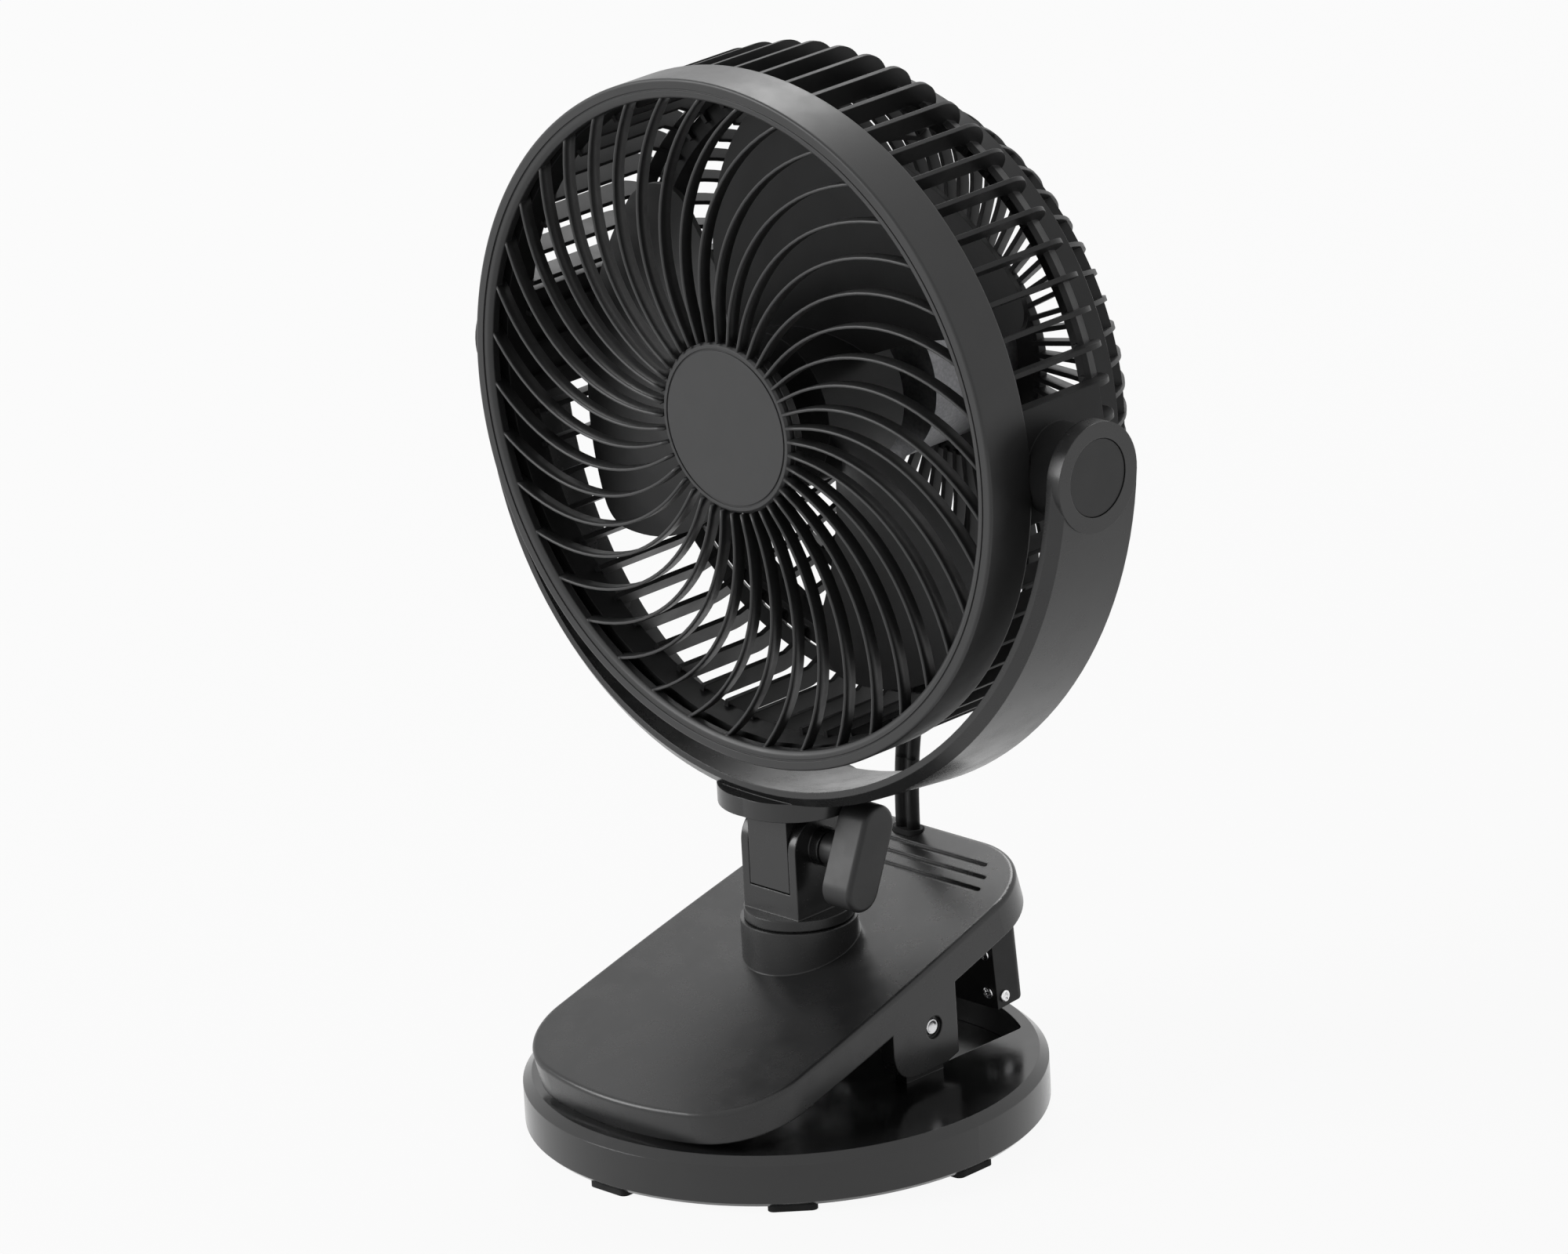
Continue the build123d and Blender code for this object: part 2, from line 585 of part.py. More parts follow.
# ================================================================ neck
def neck():
    z0 = BOSS_TOP + SLIP
    neck_body = rod_z(COLLAR_R, z0, COLLAR_TOP, 0, TURRET_Y)
    neck_body += rod_z(SPINDLE_R, BOSS_BOTTOM - SLIP, z0 + 1, 0, TURRET_Y)
    fork = block(-FORK_HALF, FORK_HALF, TURRET_Y - FORK_HALF_DEPTH, TURRET_Y + FORK_HALF_DEPTH,
                 COLLAR_TOP - 1, FORK_TOP)
    fork = fillet(fork.edges().filter_by(Axis.X).sort_by(Axis.Z)[-2:], FORK_TOP_R)
    fork -= rod_x(TONGUE_R + SLIP, -SLOT_HALF, SLOT_HALF, BOLT_Y, BOLT_Z)
    fork -= block(-SLOT_HALF, SLOT_HALF, TURRET_Y - TONGUE_R, TURRET_Y + TONGUE_R, BOLT_Z, FORK_TOP + 1)
    neck_body += fork
    neck_body += rod_x(BOLT_BOSS_R, FORK_HALF - 0.5, FORK_HALF + BOLT_BOSS_H, BOLT_Y, BOLT_Z)
    neck_body -= rod_x(BOLT_R + RUNNING, -30, 30, BOLT_Y, BOLT_Z)
    neck_body -= rod_z(NECK_SCREW_R, BOSS_BOTTOM - 1, BOSS_BOTTOM + 10, 0, TURRET_Y)
    return neck_body


def neck_washer():
    z1 = BOSS_BOTTOM - SLIP
    washer = rod_z(WASHER_R, z1 - WASHER_T, z1, 0, TURRET_Y)
    return washer - rod_z(NECK_SCREW_R + RUNNING, 0, 60, 0, TURRET_Y)


def neck_screw():
    z1 = BOSS_BOTTOM - SLIP - WASHER_T
    head = rod_z(NECK_SCREW_HEAD_R, z1 - NECK_SCREW_HEAD_H, z1, 0, TURRET_Y)
    return head + rod_z(NECK_SCREW_R - RUNNING, z1 - 1, BOSS_BOTTOM + 8, 0, TURRET_Y)


def bolt_cover():
    cover = rod_x(BOLT_COVER_R, -FORK_HALF - BOLT_COVER_H, -FORK_HALF, BOLT_Y, BOLT_Z)
    cover = fillet(cover.edges().sort_by(Axis.X)[0], 1.4)
    return cover - rod_x(BOLT_R + RUNNING, -FORK_HALF - 1.6, 0, BOLT_Y, BOLT_Z)


def pivot_bolt():
    return rod_x(BOLT_R, -FORK_HALF - 1.5, KNOB_OUT_X - 4, BOLT_Y, BOLT_Z)


def wing_knob():
    straight = KNOB_LONG - KNOB_WIDE
    face = Plane.YZ * SlotCenterToCenter(straight, KNOB_WIDE)
    paddle = extrude(face, amount=KNOB_OUT_X - KNOB_IN_X)
    paddle = Rot(90, 0, 0) * paddle
    paddle = fillet(paddle.edges().group_by(Axis.X)[-1], KNOB_EDGE_R)
    paddle = Pos(KNOB_IN_X, BOLT_Y, BOLT_Z) * Rot(-KNOB_LEAN, 0, 0) * paddle
    knob = paddle + rod_x(KNOB_SHANK_R, FORK_HALF + BOLT_BOSS_H + SLIP, KNOB_IN_X + 1, BOLT_Y, BOLT_Z)
    return knob - rod_x(BOLT_R + RUNNING, 0, KNOB_OUT_X - 4 + SLIP, BOLT_Y, BOLT_Z)


# ================================================================ yoke
def lean(shape):
    """Takes a shape built upright about the pivot axis to its leaning place."""
    return Pos(0, PIVOT_Y, PIVOT_Z) * Rot(-YOKE_LEAN, 0, 0) * shape


def yoke_band():
    half = YOKE_WIDE / 2
    outer = YOKE_R
    inner = YOKE_INNER_R
    profile = make_face(Polyline((inner, -half), (outer - YOKE_CHAMFER, -half), (outer, -half + YOKE_CHAMFER),
                                 (outer, half), (inner, half), close=True))
    band = revolve(profile, Axis.Y, 180)
    arms = []
    for side in (-1, 1):
        x0, x1 = sorted((side * inner, side * outer))
        arms.append(rod_x(half, x0, x1, 0, 0))
    return band, arms


def stem():
    """Tongue between the fork's cheeks and the round plate under the band."""
    tongue_half = SLOT_HALF - SLIP
    tongue = rod_x(TONGUE_R, -tongue_half, tongue_half, BOLT_Y, BOLT_Z)
    front = BOLT_Y - FORK_HALF_DEPTH
    rear = BOLT_Y + FORK_HALF_DEPTH
    plate_z = BOLT_Z + BAND_OVER_BOLT + STEM_INTO_BAND - STEM_PLATE_T
    tongue &= block(-tongue_half, tongue_half, front, rear, 0, BOLT_Z)
    tongue += block(-tongue_half, tongue_half, front, rear, BOLT_Z - 0.5, plate_z + STEM_PLATE_T)
    tongue -= rod_x(BOLT_R + RUNNING, -FORK_HALF, FORK_HALF, BOLT_Y, BOLT_Z)
    plate = rod_z(STEM_PLATE_R, plate_z, plate_z + STEM_PLATE_T, 0, BOLT_Y + 1)
    plate += rod_z(STEM_PLATE_R, plate_z, plate_z + STEM_PLATE_T, STEM_SIDE_X, BOLT_Y + 1)
    return tongue + plate


def yoke():
    band, arms = yoke_band()
    band = lean(band)
    whole = band + [lean(arm) for arm in arms] + stem()
    clear = lean(rod_y(YOKE_INNER_R, -60, 60))
    whole -= clear
    for side in (-1, 1):
        x0, x1 = sorted((side * (YOKE_INNER_R - 5), side * (YOKE_R + 5)))
        whole -= rod_x(PIVOT_PIN_R + RUNNING, x0, x1, PIVOT_Y, PIVOT_Z)
        cap0, cap1 = sorted((side * (YOKE_R - CAP_T - CAP_INSET), side * (YOKE_R + 5)))
        whole -= rod_x(CAP_R + SEAT, cap0, cap1, PIVOT_Y, PIVOT_Z)
    return whole


def pivot_caps():
    outer = YOKE_R - CAP_INSET
    return both_sides(rod_x(CAP_R, outer - CAP_T, outer, PIVOT_Y, PIVOT_Z))


def pivot_pins():
    return both_sides(rod_x(PIVOT_PIN_R, HEAD_R + 1.5, YOKE_R - CAP_T - CAP_INSET - 0.2, PIVOT_Y, PIVOT_Z))


# ================================================================ head
def front_guard():
    ring = turned_y([
        (RING_IN_R, RING_FRONT + 1.5), (RING_IN_R + 1.5, RING_FRONT), (HEAD_R - 2.0, RING_FRONT),
        (HEAD_R, RING_FRONT + 2.0), (HEAD_R, BAND_REAR), (HEAD_R - BAND_WALL, BAND_REAR),
        (HEAD_R - BAND_WALL, RING_FRONT + 4.0), (RING_IN_R, RING_FRONT + 4.0)])
    plate_rear = CAP_DISC_FRONT + CAP_DISC_T + 3.0
    centre = rod_y(CAP_DISC_R - 1.0, CAP_DISC_FRONT + CAP_DISC_T, plate_rear)
    rib = front_rib(rib_layer())
    ribs = [Rot(0, -(RIB_PHASE + k * 360 / RIB_COUNT), 0) * rib for k in range(RIB_COUNT)]
    guard = ring + [centre, *ribs]
    guard -= rod_y(CAP_DISC_R, CAP_DISC_FRONT - 1, CAP_DISC_FRONT + CAP_DISC_T)
    return on_head(guard)


def rib_angle(radius):
    """Sweep of a front rib, against its angle at the cap disc."""
    return -RIB_SWEEP * max(0.0, (radius - RIB_STRAIGHT_R) / (RING_IN_R - RIB_STRAIGHT_R)) ** 1.5


def rib_layer():
    """The shallow dome that the ribs lie in, from the middle out to the ring."""
    inner, outer = CAP_DISC_R - 4.0, RING_IN_R + 2.5
    middle = (inner + outer) / 2
    middle_y = (RIB_HUB_Y + RIB_RING_Y) / 2 - RIB_CROWN
    front = ThreePointArc((inner, RIB_HUB_Y), (middle, middle_y), (outer, RIB_RING_Y))
    rear = ThreePointArc((inner, RIB_HUB_Y + RIB_DEPTH), (middle, middle_y + RIB_DEPTH), (outer, RIB_RING_Y + RIB_DEPTH))
    return revolve(make_face([front, Line(front @ 1, rear @ 1), rear, Line(rear @ 0, front @ 0)]), Axis.Y)


def front_rib(layer):
    inner, outer = CAP_DISC_R - 3.0, RING_IN_R + 2.0
    steps = 7

    def side_line(side):
        points = []
        for k in range(steps):
            radius = inner + (outer - inner) * k / (steps - 1)
            turn = radians(rib_angle(radius)) + side * RIB_T / 2 / radius
            points.append((radius * cos(turn), radius * sin(turn)))
        return Spline(*points)
    low, high = side_line(-1), side_line(1)
    face = make_face([low, high, Line(low @ 0, high @ 0), Line(low @ 1, high @ 1)])
    return extrude(Plane.XZ.offset(-(RIB_HUB_Y - 2)) * face, amount=-(RIB_RING_Y - RIB_HUB_Y + RIB_DEPTH + 4)) & layer


def cap_disc():
    disc = turned_y([
        (0, CAP_DISC_FRONT), (CAP_DISC_R - 0.8, CAP_DISC_FRONT), (CAP_DISC_R, CAP_DISC_FRONT + 0.8),
        (CAP_DISC_R, CAP_DISC_FRONT + CAP_DISC_T), (0, CAP_DISC_FRONT + CAP_DISC_T)])
    groove_r = 0.92 * CAP_DISC_R
    disc -= turned_y([(groove_r - 0.3, CAP_DISC_FRONT - 1), (groove_r + 0.3, CAP_DISC_FRONT - 1),
                      (groove_r + 0.3, CAP_DISC_FRONT + 0.4), (groove_r - 0.3, CAP_DISC_FRONT + 0.4)])
    return on_head(disc)


def fin():
    """One fin of the rear guard: side, rounded corner and a foot on the hoop, as a thin radial plate."""
    straight = REAR_FACE - FIN_CORNER_R
    corner_in = FIN_OUT_R - FIN_CORNER_R
    half = sqrt(0.5)
    outline = [
        Line((FIN_IN_R, BAND_REAR - 2), (RIM_R, BAND_REAR - 2)),
        Line((RIM_R, BAND_REAR - 2), (RIM_R, BAND_REAR + SEAT)),
        Line((RIM_R, BAND_REAR + SEAT), (FIN_OUT_R, BAND_REAR + SEAT)),
        Line((FIN_OUT_R, BAND_REAR + SEAT), (FIN_OUT_R, straight)),
        ThreePointArc((FIN_OUT_R, straight),
                      (corner_in + FIN_CORNER_R * half, straight + FIN_CORNER_R * half),
                      (corner_in, REAR_FACE)),
        Line((corner_in, REAR_FACE), (HOOP_IN_R + 2, REAR_FACE)),
        Line((HOOP_IN_R + 2, REAR_FACE), (HOOP_IN_R + 2, REAR_FACE - 5)),
        Line((HOOP_IN_R + 2, REAR_FACE - 5), (FIN_IN_R - 4, REAR_FACE - 5)),
        Line((FIN_IN_R - 4, REAR_FACE - 5), (FIN_IN_R, straight)),
        Line((FIN_IN_R, straight), (FIN_IN_R, BAND_REAR - 2)),
    ]
    return extrude(make_face(outline), amount=FIN_T / 2, both=True)


def dome_point(radius_of_arc, angle):
    return (DOME_CENTRE_R + radius_of_arc * cos(radians(angle)), DOME_CENTRE_Y + radius_of_arc * sin(radians(angle)))


def dome_rib():
    """One rib of the rear dome, from the hoop to the middle disc."""
    start = DOME_RIB_START
    outer_arc = ThreePointArc(dome_point(DOME_ARC_R, start), dome_point(DOME_ARC_R, 50), dome_point(DOME_ARC_R, 90))
    inner_r = DOME_ARC_R - DOME_RIB_DEPTH
    inner_arc = ThreePointArc(dome_point(inner_r, start), dome_point(inner_r, 50), dome_point(inner_r, 90))
    inner_end = REAR_DISC_R - 1.5
    outline = [
        outer_arc, inner_arc,
        Line(dome_point(DOME_ARC_R, start), dome_point(inner_r, start)),
        Line(dome_point(DOME_ARC_R, 90), (inner_end, DOME_REAR)),
        Line((inner_end, DOME_REAR), (inner_end, DOME_REAR - DOME_RIB_DEPTH)),
        Line((inner_end, DOME_REAR - DOME_RIB_DEPTH), dome_point(inner_r, 90)),
    ]
    return extrude(make_face(outline), amount=FIN_T / 2, both=True)


def pivot_side(side):
    """Solid plate and boss that carry the head on one pivot."""
    low, high = PIVOT_PLATE_ANGLES
    middle = radians((low + high) / 2)
    reach = 2 * HEAD_R
    wedge = make_face(Polyline((0, 0), (reach * cos(radians(low)), reach * sin(radians(low))),
                               (reach / cos(middle), reach * sin(middle)),
                               (reach * cos(radians(high)), reach * sin(radians(high))), close=True))
    wedge = extrude(Plane.XZ.offset(-(BAND_REAR - 2)) * wedge, amount=-(REAR_FACE - FIN_CORNER_R - BAND_REAR + 4))
    ring = turned_y([(FIN_IN_R + 2, BAND_REAR - 2), (RIM_R, BAND_REAR - 2), (RIM_R, BAND_REAR + SEAT),
                     (FIN_OUT_R, BAND_REAR + SEAT), (FIN_OUT_R, REAR_FACE - FIN_CORNER_R), (FIN_IN_R + 2, REAR_FACE - FIN_CORNER_R)])
    plate = ring & wedge
    boss = rod_x(PIVOT_BOSS_R, FIN_IN_R + 3, PIVOT_BOSS_END, PIVOT_Y, 0)
    boss -= rod_y(FIN_IN_R + 2, BAND_REAR - 10, REAR_FACE)
    boss -= rod_y(HEAD_R + SEAT, -40, BAND_REAR + SEAT)
    whole = plate + boss
    whole -= rod_x(PIVOT_PIN_R + RUNNING, HEAD_R + 1.0, YOKE_R, PIVOT_Y, 0)
    return whole if side > 0 else mirror(whole, about=Plane.YZ)


def rear_guard():
    rim = turned_y([(FIN_IN_R + 2, -2), (RIM_R, -2), (RIM_R, BAND_REAR), (FIN_IN_R + 2, BAND_REAR)])
    corner_ring = turned_y([
        (FIN_IN_R - 4, REAR_FACE - 5), (FIN_IN_R - 1, REAR_FACE - 8), (FIN_IN_R, REAR_FACE - 6.5),
        (FIN_IN_R - 2, REAR_FACE - 2)])
    hoop = turned_y([
        (HOOP_IN_R, REAR_FACE - 3), (HOOP_R, REAR_FACE - 3), (HOOP_R, HOOP_REAR - 1.5),
        (HOOP_R - 1.5, HOOP_REAR), (HOOP_IN_R, HOOP_REAR)])
    disc = rod_y(REAR_DISC_R, REAR_DISC_FRONT, DOME_REAR)
    hoops = []
    for angle in DOME_HOOP_ANGLES:
        radius, y = dome_point(DOME_ARC_R, angle)
        hoops.append(turned_y([(radius - 3.2, y - 3.2), (radius - 1.4, y - 4.6), (radius + 0.2, y - 1.0),
                               (radius - 1.6, y + 0.4)]))
    fins = []
    for k in range(FIN_COUNT):
        turn = FIN_PHASE + k * 360 / FIN_COUNT
        fins.append(Rot(0, -turn, 0) * fin())
        fins.append(Rot(0, -turn, 0) * dome_rib())
    sides = [pivot_side(1), pivot_side(-1)]
    guard = rim + [corner_ring, hoop, disc, *hoops, *sides, *fins]
    guard -= rod_y(DIAL_STEM_R + RUNNING, REAR_DISC_FRONT - 1, DOME_REAR + 1)
    return on_head(guard) - head_gland_space(SEAT)


def speed_dial():
    front = DOME_REAR + SLIP
    dial = rod_y(DIAL_R, front, front + DIAL_H)
    flute_r = 1.2
    for k in range(DIAL_FLUTES):
        turn = radians(k * 360 / DIAL_FLUTES)
        dial -= rod_y(flute_r, front + 1.5, front + DIAL_H + 1, DIAL_R * cos(turn), DIAL_R * sin(turn))
    dial += rod_y(DIAL_STEM_R, REAR_DISC_FRONT - 2.5, front + 1)
    dial -= rod_y(1.0, REAR_DISC_FRONT - 3, REAR_DISC_FRONT)
    return on_head(dial)


def speed_switch():
    """Rotary control behind the dial, on the inside of the middle disc."""
    body = block(-8, 8, REAR_DISC_FRONT - 6, REAR_DISC_FRONT, -8, 8)
    body -= rod_y(DIAL_STEM_R + RUNNING, REAR_DISC_FRONT - 2.8, REAR_DISC_FRONT + 1)
    return on_head(body)


def motor_housing():
    can = rod_y(MOTOR_R, MOTOR_FRONT, REAR_DISC_FRONT)
    can -= rod_y(MOTOR_R - MOTOR_WALL, MOTOR_FRONT + 2.4, REAR_DISC_FRONT + 1)
    can -= rod_y(BEARING_R, MOTOR_FRONT - 1, MOTOR_FRONT + 5)
    seat = rod_y(BEARING_R + BEARING_WALL, MOTOR_FRONT + 2.0, MOTOR_FRONT + BEARING_W) - rod_y(BEARING_R, 0, 90)
    return on_head(can + seat)


def motor_frame():
    """Inner bracket that carries the stator and the rear bearing."""
    plate = rod_y(MOTOR_R - MOTOR_WALL, FRAME_Y, FRAME_Y + MOTOR_FRAME_T)
    tube = rod_y(BEARING_R + BEARING_WALL, FRAME_Y - BEARING_TUBE, FRAME_Y + 1)
    return on_head((plate + tube) - rod_y(BEARING_R, FRAME_Y - BEARING_TUBE - 1, FRAME_Y + MOTOR_FRAME_T + 1))


def bearings():
    rings = []
    for y in (MOTOR_FRONT, FRAME_Y - BEARING_TUBE + MOTOR_FRAME_T):
        rings.append(on_head(rod_y(BEARING_R, y, y + BEARING_W) - rod_y(SHAFT_R + RUNNING, y - 1, y + BEARING_W + 1)))
    return rings


def stator():
    tube = rod_y(MOTOR_R - MOTOR_WALL, STATOR_Y, STATOR_Y + STATOR_LENGTH)
    return on_head(tube - rod_y(STATOR_R, STATOR_Y - 1, STATOR_Y + STATOR_LENGTH + 1))


def rotor_core():
    core = rod_y(STATOR_R - ROTOR_GAP, STATOR_Y + ROTOR_GAP, STATOR_Y + STATOR_LENGTH - ROTOR_GAP)
    return on_head(core - rod_y(SHAFT_R, STATOR_Y - 1, STATOR_Y + STATOR_LENGTH + 1))


def motor_shaft():
    return on_head(rod_y(SHAFT_R, HUB_FRONT - NUT_T + 0.4, FRAME_Y - 0.4))


def blade_outline():
    """One blade seen along the axis, from its leading edge round to its trailing edge."""
    root, tip = HUB_R - HUB_WALL / 2, BLADE_TIP_R
    middle = (root + tip) / 2

    def at(radius, angle):
        return (radius * cos(radians(angle)), radius * sin(radians(angle)))
    lead_tip = -BLADE_LEAD_SWEEP
    trail = -BLADE_SPAN
    edges = [
        ThreePointArc(at(root, 0), at(middle, 0.3 * lead_tip), at(tip, lead_tip)),
        ThreePointArc(at(tip, lead_tip), at(tip, (lead_tip + trail) / 2), at(tip, trail)),
        ThreePointArc(at(tip, trail), at(middle, trail + 0.4 * BLADE_TRAIL_SWEEP), at(root, trail + BLADE_TRAIL_SWEEP)),
        ThreePointArc(at(root, trail + BLADE_TRAIL_SWEEP), at(root, trail / 2), at(root, 0)),
    ]
    face = make_face(edges)
    corners = sorted(face.vertices(), key=lambda v: v.X ** 2 + v.Y ** 2)[-2:]
    return fillet(corners, BLADE_CORNER_R)


def blade():
    """One broad blade: a helix swept round the hub, cut to its outline."""
    root, tip = HUB_R - HUB_WALL, BLADE_TIP_R + 2.0
    sections = []
    for k in range(BLADE_STATIONS):
        share = k / (BLADE_STATIONS - 1)
        y = BLADE_FRONT + BLADE_RISE * share
        strip = Plane(origin=(0, y, 0), x_dir=(1, 0, 0), z_dir=(0, 0, 1)) * (Pos((root + tip) / 2, 0) * Rectangle(tip - root, BLADE_T))
        sections.append(Rot(0, BLADE_SPAN * share, 0) * strip)
    helix = loft(sections)
    reach = BLADE_RISE + 4 * BLADE_T
    return helix & extrude(Plane.XZ.offset(-(BLADE_FRONT - 2 * BLADE_T)) * blade_outline(), amount=-reach)


def impeller():
    hub = rod_y(HUB_R, HUB_FRONT, HUB_REAR)
    hub -= rod_y(HUB_R - HUB_WALL, HUB_FRONT + HUB_WALL, HUB_REAR + 1)
    hub += rod_y(HUB_CORE_R, HUB_FRONT + 1, HUB_REAR)
    one = blade()
    blades = [Rot(0, -(BLADE_PHASE + k * 360 / BLADE_COUNT), 0) * one for k in range(BLADE_COUNT)]
    body = hub + blades
    body -= rod_y(HUB_R - HUB_WALL, HUB_FRONT + HUB_WALL, HUB_REAR + 1) - rod_y(HUB_CORE_R, HUB_FRONT, HUB_REAR + 2)
    body -= rod_y(SHAFT_R, 0, 90)
    return on_head(body)


def impeller_nut():
    nut = extrude(Plane.XZ.offset(-(HUB_FRONT - NUT_T)) * RegularPolygon(NUT_R, 6), amount=-NUT_T)
    return on_head(nut - rod_y(SHAFT_R, 0, 90))


# ================================================================ lead
def lead_section(grow=0.0):
    """Section of the twin lead: two round strands and the web between them."""
    half = LEAD_STRAND_GAP / 2
    strands = Pos(half, 0) * Circle(LEAD_R + grow) + Pos(-half, 0) * Circle(LEAD_R + grow)
    return strands + Rectangle(LEAD_STRAND_GAP, LEAD_WEB_T + 2 * grow)


def gland_shape(grow=0.0):
    return SlotCenterToCenter(LEAD_STRAND_GAP, 2 * (LEAD_R + GLAND_WALL + grow))


def jaw_top_z(y):
    return JAW_Z0 + JAW_SLOPE * y


def head_gland_plane():
    """Plane on the rear disc's outer face, square to the lead as it comes out, half way to straight down."""
    return Plane(origin=(LEAD_X, DOME_REAR, LEAD_HEAD_Z), x_dir=(1, 0, 0), z_dir=(0, sqrt(0.5), -sqrt(0.5)))


def head_gland_space(grow=0.0):
    return extrude(head_gland_plane().offset(-4 * GLAND_OUT) * gland_shape(grow), amount=4 * GLAND_OUT + GLAND_OUT)


def lead_path():
    """Route of the lead's middle, from the gland on the head's rear to the gland on the jaw."""
    out = head_gland_plane()
    start = out.origin + out.z_dir * GLAND_OUT
    first = start + out.z_dir * 17.0
    return [
        start,
        first,
        Vector(LEAD_X, DOME_REAR + 12.0, LEAD_HEAD_Z - 38.0),
        Vector(LEAD_X, LEAD_JAW_Y + 14.0, LEAD_HEAD_Z - 63.0),
        Vector(LEAD_X, LEAD_JAW_Y, LEAD_HEAD_Z - 90.0),
        Vector(LEAD_X, LEAD_JAW_Y, jaw_top_z(LEAD_JAW_Y) + JAW_GLAND_OUT),
    ]


def bend_radii(points):
    radii = []
    for a, b, c in zip(points, points[1:], points[2:]):
        one = b - a
        two = c - b
        turn = radians(one.get_angle(two))
        radii.append(0.45 * min(one.length, two.length) / tan(turn / 2))
    return radii


def lead_whole():
    points = lead_path()
    radii = bend_radii(points)
    print("lead radii", [round(r, 1) for r in radii])
    path = FilletPolyline(*points, radius=radii)
    start = Plane(origin=path @ 0, x_dir=(1, 0, 0), z_dir=path % 0)
    section = lead_section()
    lead = sweep(start * section, path=path)
    print("lead length", round(path.length, 1), "volume ratio", round(lead.volume / (section.area * path.length), 4))
    return lead


def lead_pieces():
    """The lead cut into the stretches that follow the jaw, the yoke and the head."""
    whole = lead_whole()
    low = whole & block(-60, 60, 0, 200, 0, SPLIT_LOW_Z)
    middle = whole & block(-60, 60, 0, 200, SPLIT_LOW_Z, SPLIT_HIGH_Z)
    high = whole & block(-60, 60, 0, 200, SPLIT_HIGH_Z, 300)
    return low, middle, high


def jaw_gland_z():
    return jaw_top_z(LEAD_JAW_Y) - JAW_WALL - JAW_GLAND_UNDER


def jaw_gland():
    body = extrude(gland_shape(), amount=JAW_GLAND_UNDER + JAW_WALL + JAW_GLAND_OUT)
    return Pos(LEAD_X, LEAD_JAW_Y, jaw_gland_z()) * body


def head_gland():
    return head_gland_space() & block(-60, 60, REAR_DISC_FRONT, 200, 0, 300)


def main():
    os.makedirs("parts", exist_ok=True)
    save("base_shell", base_shell())
    save("base_plate", base_plate())
    save("base_screws", *base_screws())
    save("base_feet", *base_feet())
    save("base_grip_pad", base_grip_pad())
    save("hinge_pin", hinge_pin())
    save("clip_spring", clip_spring())
    save("upper_jaw", upper_jaw())
    save("jaw_cover", jaw_cover())
    save("jaw_grip_pad", jaw_grip_pad())
    save("battery_pack", battery_pack())
    save("charge_case", charge_case())
    save("case_door", case_door())
    save("case_screws", *case_screws())
    save("circuit_board", circuit_board())
    save("charge_socket", charge_socket())
    save("neck", neck())
    save("neck_washer", neck_washer())
    save("neck_screw", neck_screw())
    save("bolt_cover", bolt_cover())
    save("pivot_bolt", pivot_bolt())
    save("wing_knob", wing_knob())
    save("yoke", yoke())
    save("pivot_caps", *pivot_caps())
    save("pivot_pins", *pivot_pins())
    save("front_guard", front_guard())
    save("cap_disc", cap_disc())
    save("rear_guard", rear_guard())
    save("speed_dial", speed_dial())
    save("speed_switch", speed_switch())
    save("motor_housing", motor_housing())
    save("motor_frame", motor_frame())
    save("bearings", *bearings())
    save("stator", stator())
    save("rotor_core", rotor_core())
    save("motor_shaft", motor_shaft())
    save("impeller", impeller())
    save("impeller_nut", impeller_nut())
    low, middle, high = lead_pieces()
    save("lead_lower", low)
    save("lead_middle", middle)
    save("lead_upper", high)
    save("jaw_gland", jaw_gland())
    save("head_gland", head_gland())


main()
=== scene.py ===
import bpy
import bmesh
from math import atan2, cos, pi, radians, sin, sqrt
from mathutils import Matrix, Vector


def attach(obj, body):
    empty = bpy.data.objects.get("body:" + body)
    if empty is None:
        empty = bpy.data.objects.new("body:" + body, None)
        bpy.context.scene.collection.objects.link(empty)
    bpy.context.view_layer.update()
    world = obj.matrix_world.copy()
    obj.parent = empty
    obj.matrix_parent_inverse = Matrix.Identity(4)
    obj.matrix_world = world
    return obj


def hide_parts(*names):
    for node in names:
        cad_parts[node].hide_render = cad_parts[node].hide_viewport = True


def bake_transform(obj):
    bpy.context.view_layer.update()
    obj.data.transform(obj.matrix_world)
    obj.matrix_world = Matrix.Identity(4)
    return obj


# Clip fan. Lengths below are millimetres, turned into metres where a mesh is made.
MM = 0.001

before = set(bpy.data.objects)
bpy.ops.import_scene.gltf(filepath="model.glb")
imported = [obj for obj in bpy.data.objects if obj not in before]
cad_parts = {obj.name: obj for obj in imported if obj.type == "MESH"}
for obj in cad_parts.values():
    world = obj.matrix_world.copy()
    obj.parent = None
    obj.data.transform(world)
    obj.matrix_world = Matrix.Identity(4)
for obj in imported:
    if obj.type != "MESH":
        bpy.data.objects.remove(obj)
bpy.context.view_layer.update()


# ---------------------------------------------------------------- camera
FOCAL_PIXELS = 13647.8
IMAGE_WIDTH = 2000
CAMERA_DISTANCE = 3200.0
ELEVATION = 19.722
AZIMUTH = 45.072
ROLL = -3.115
AIM_HEIGHT = 160.0
AIM_RIGHT = 6.61
AIM_UP = -3.45
SENSOR_WIDTH = 36.0
NEAR_CLIP = 0.1            # metres
FAR_CLIP = 30.0


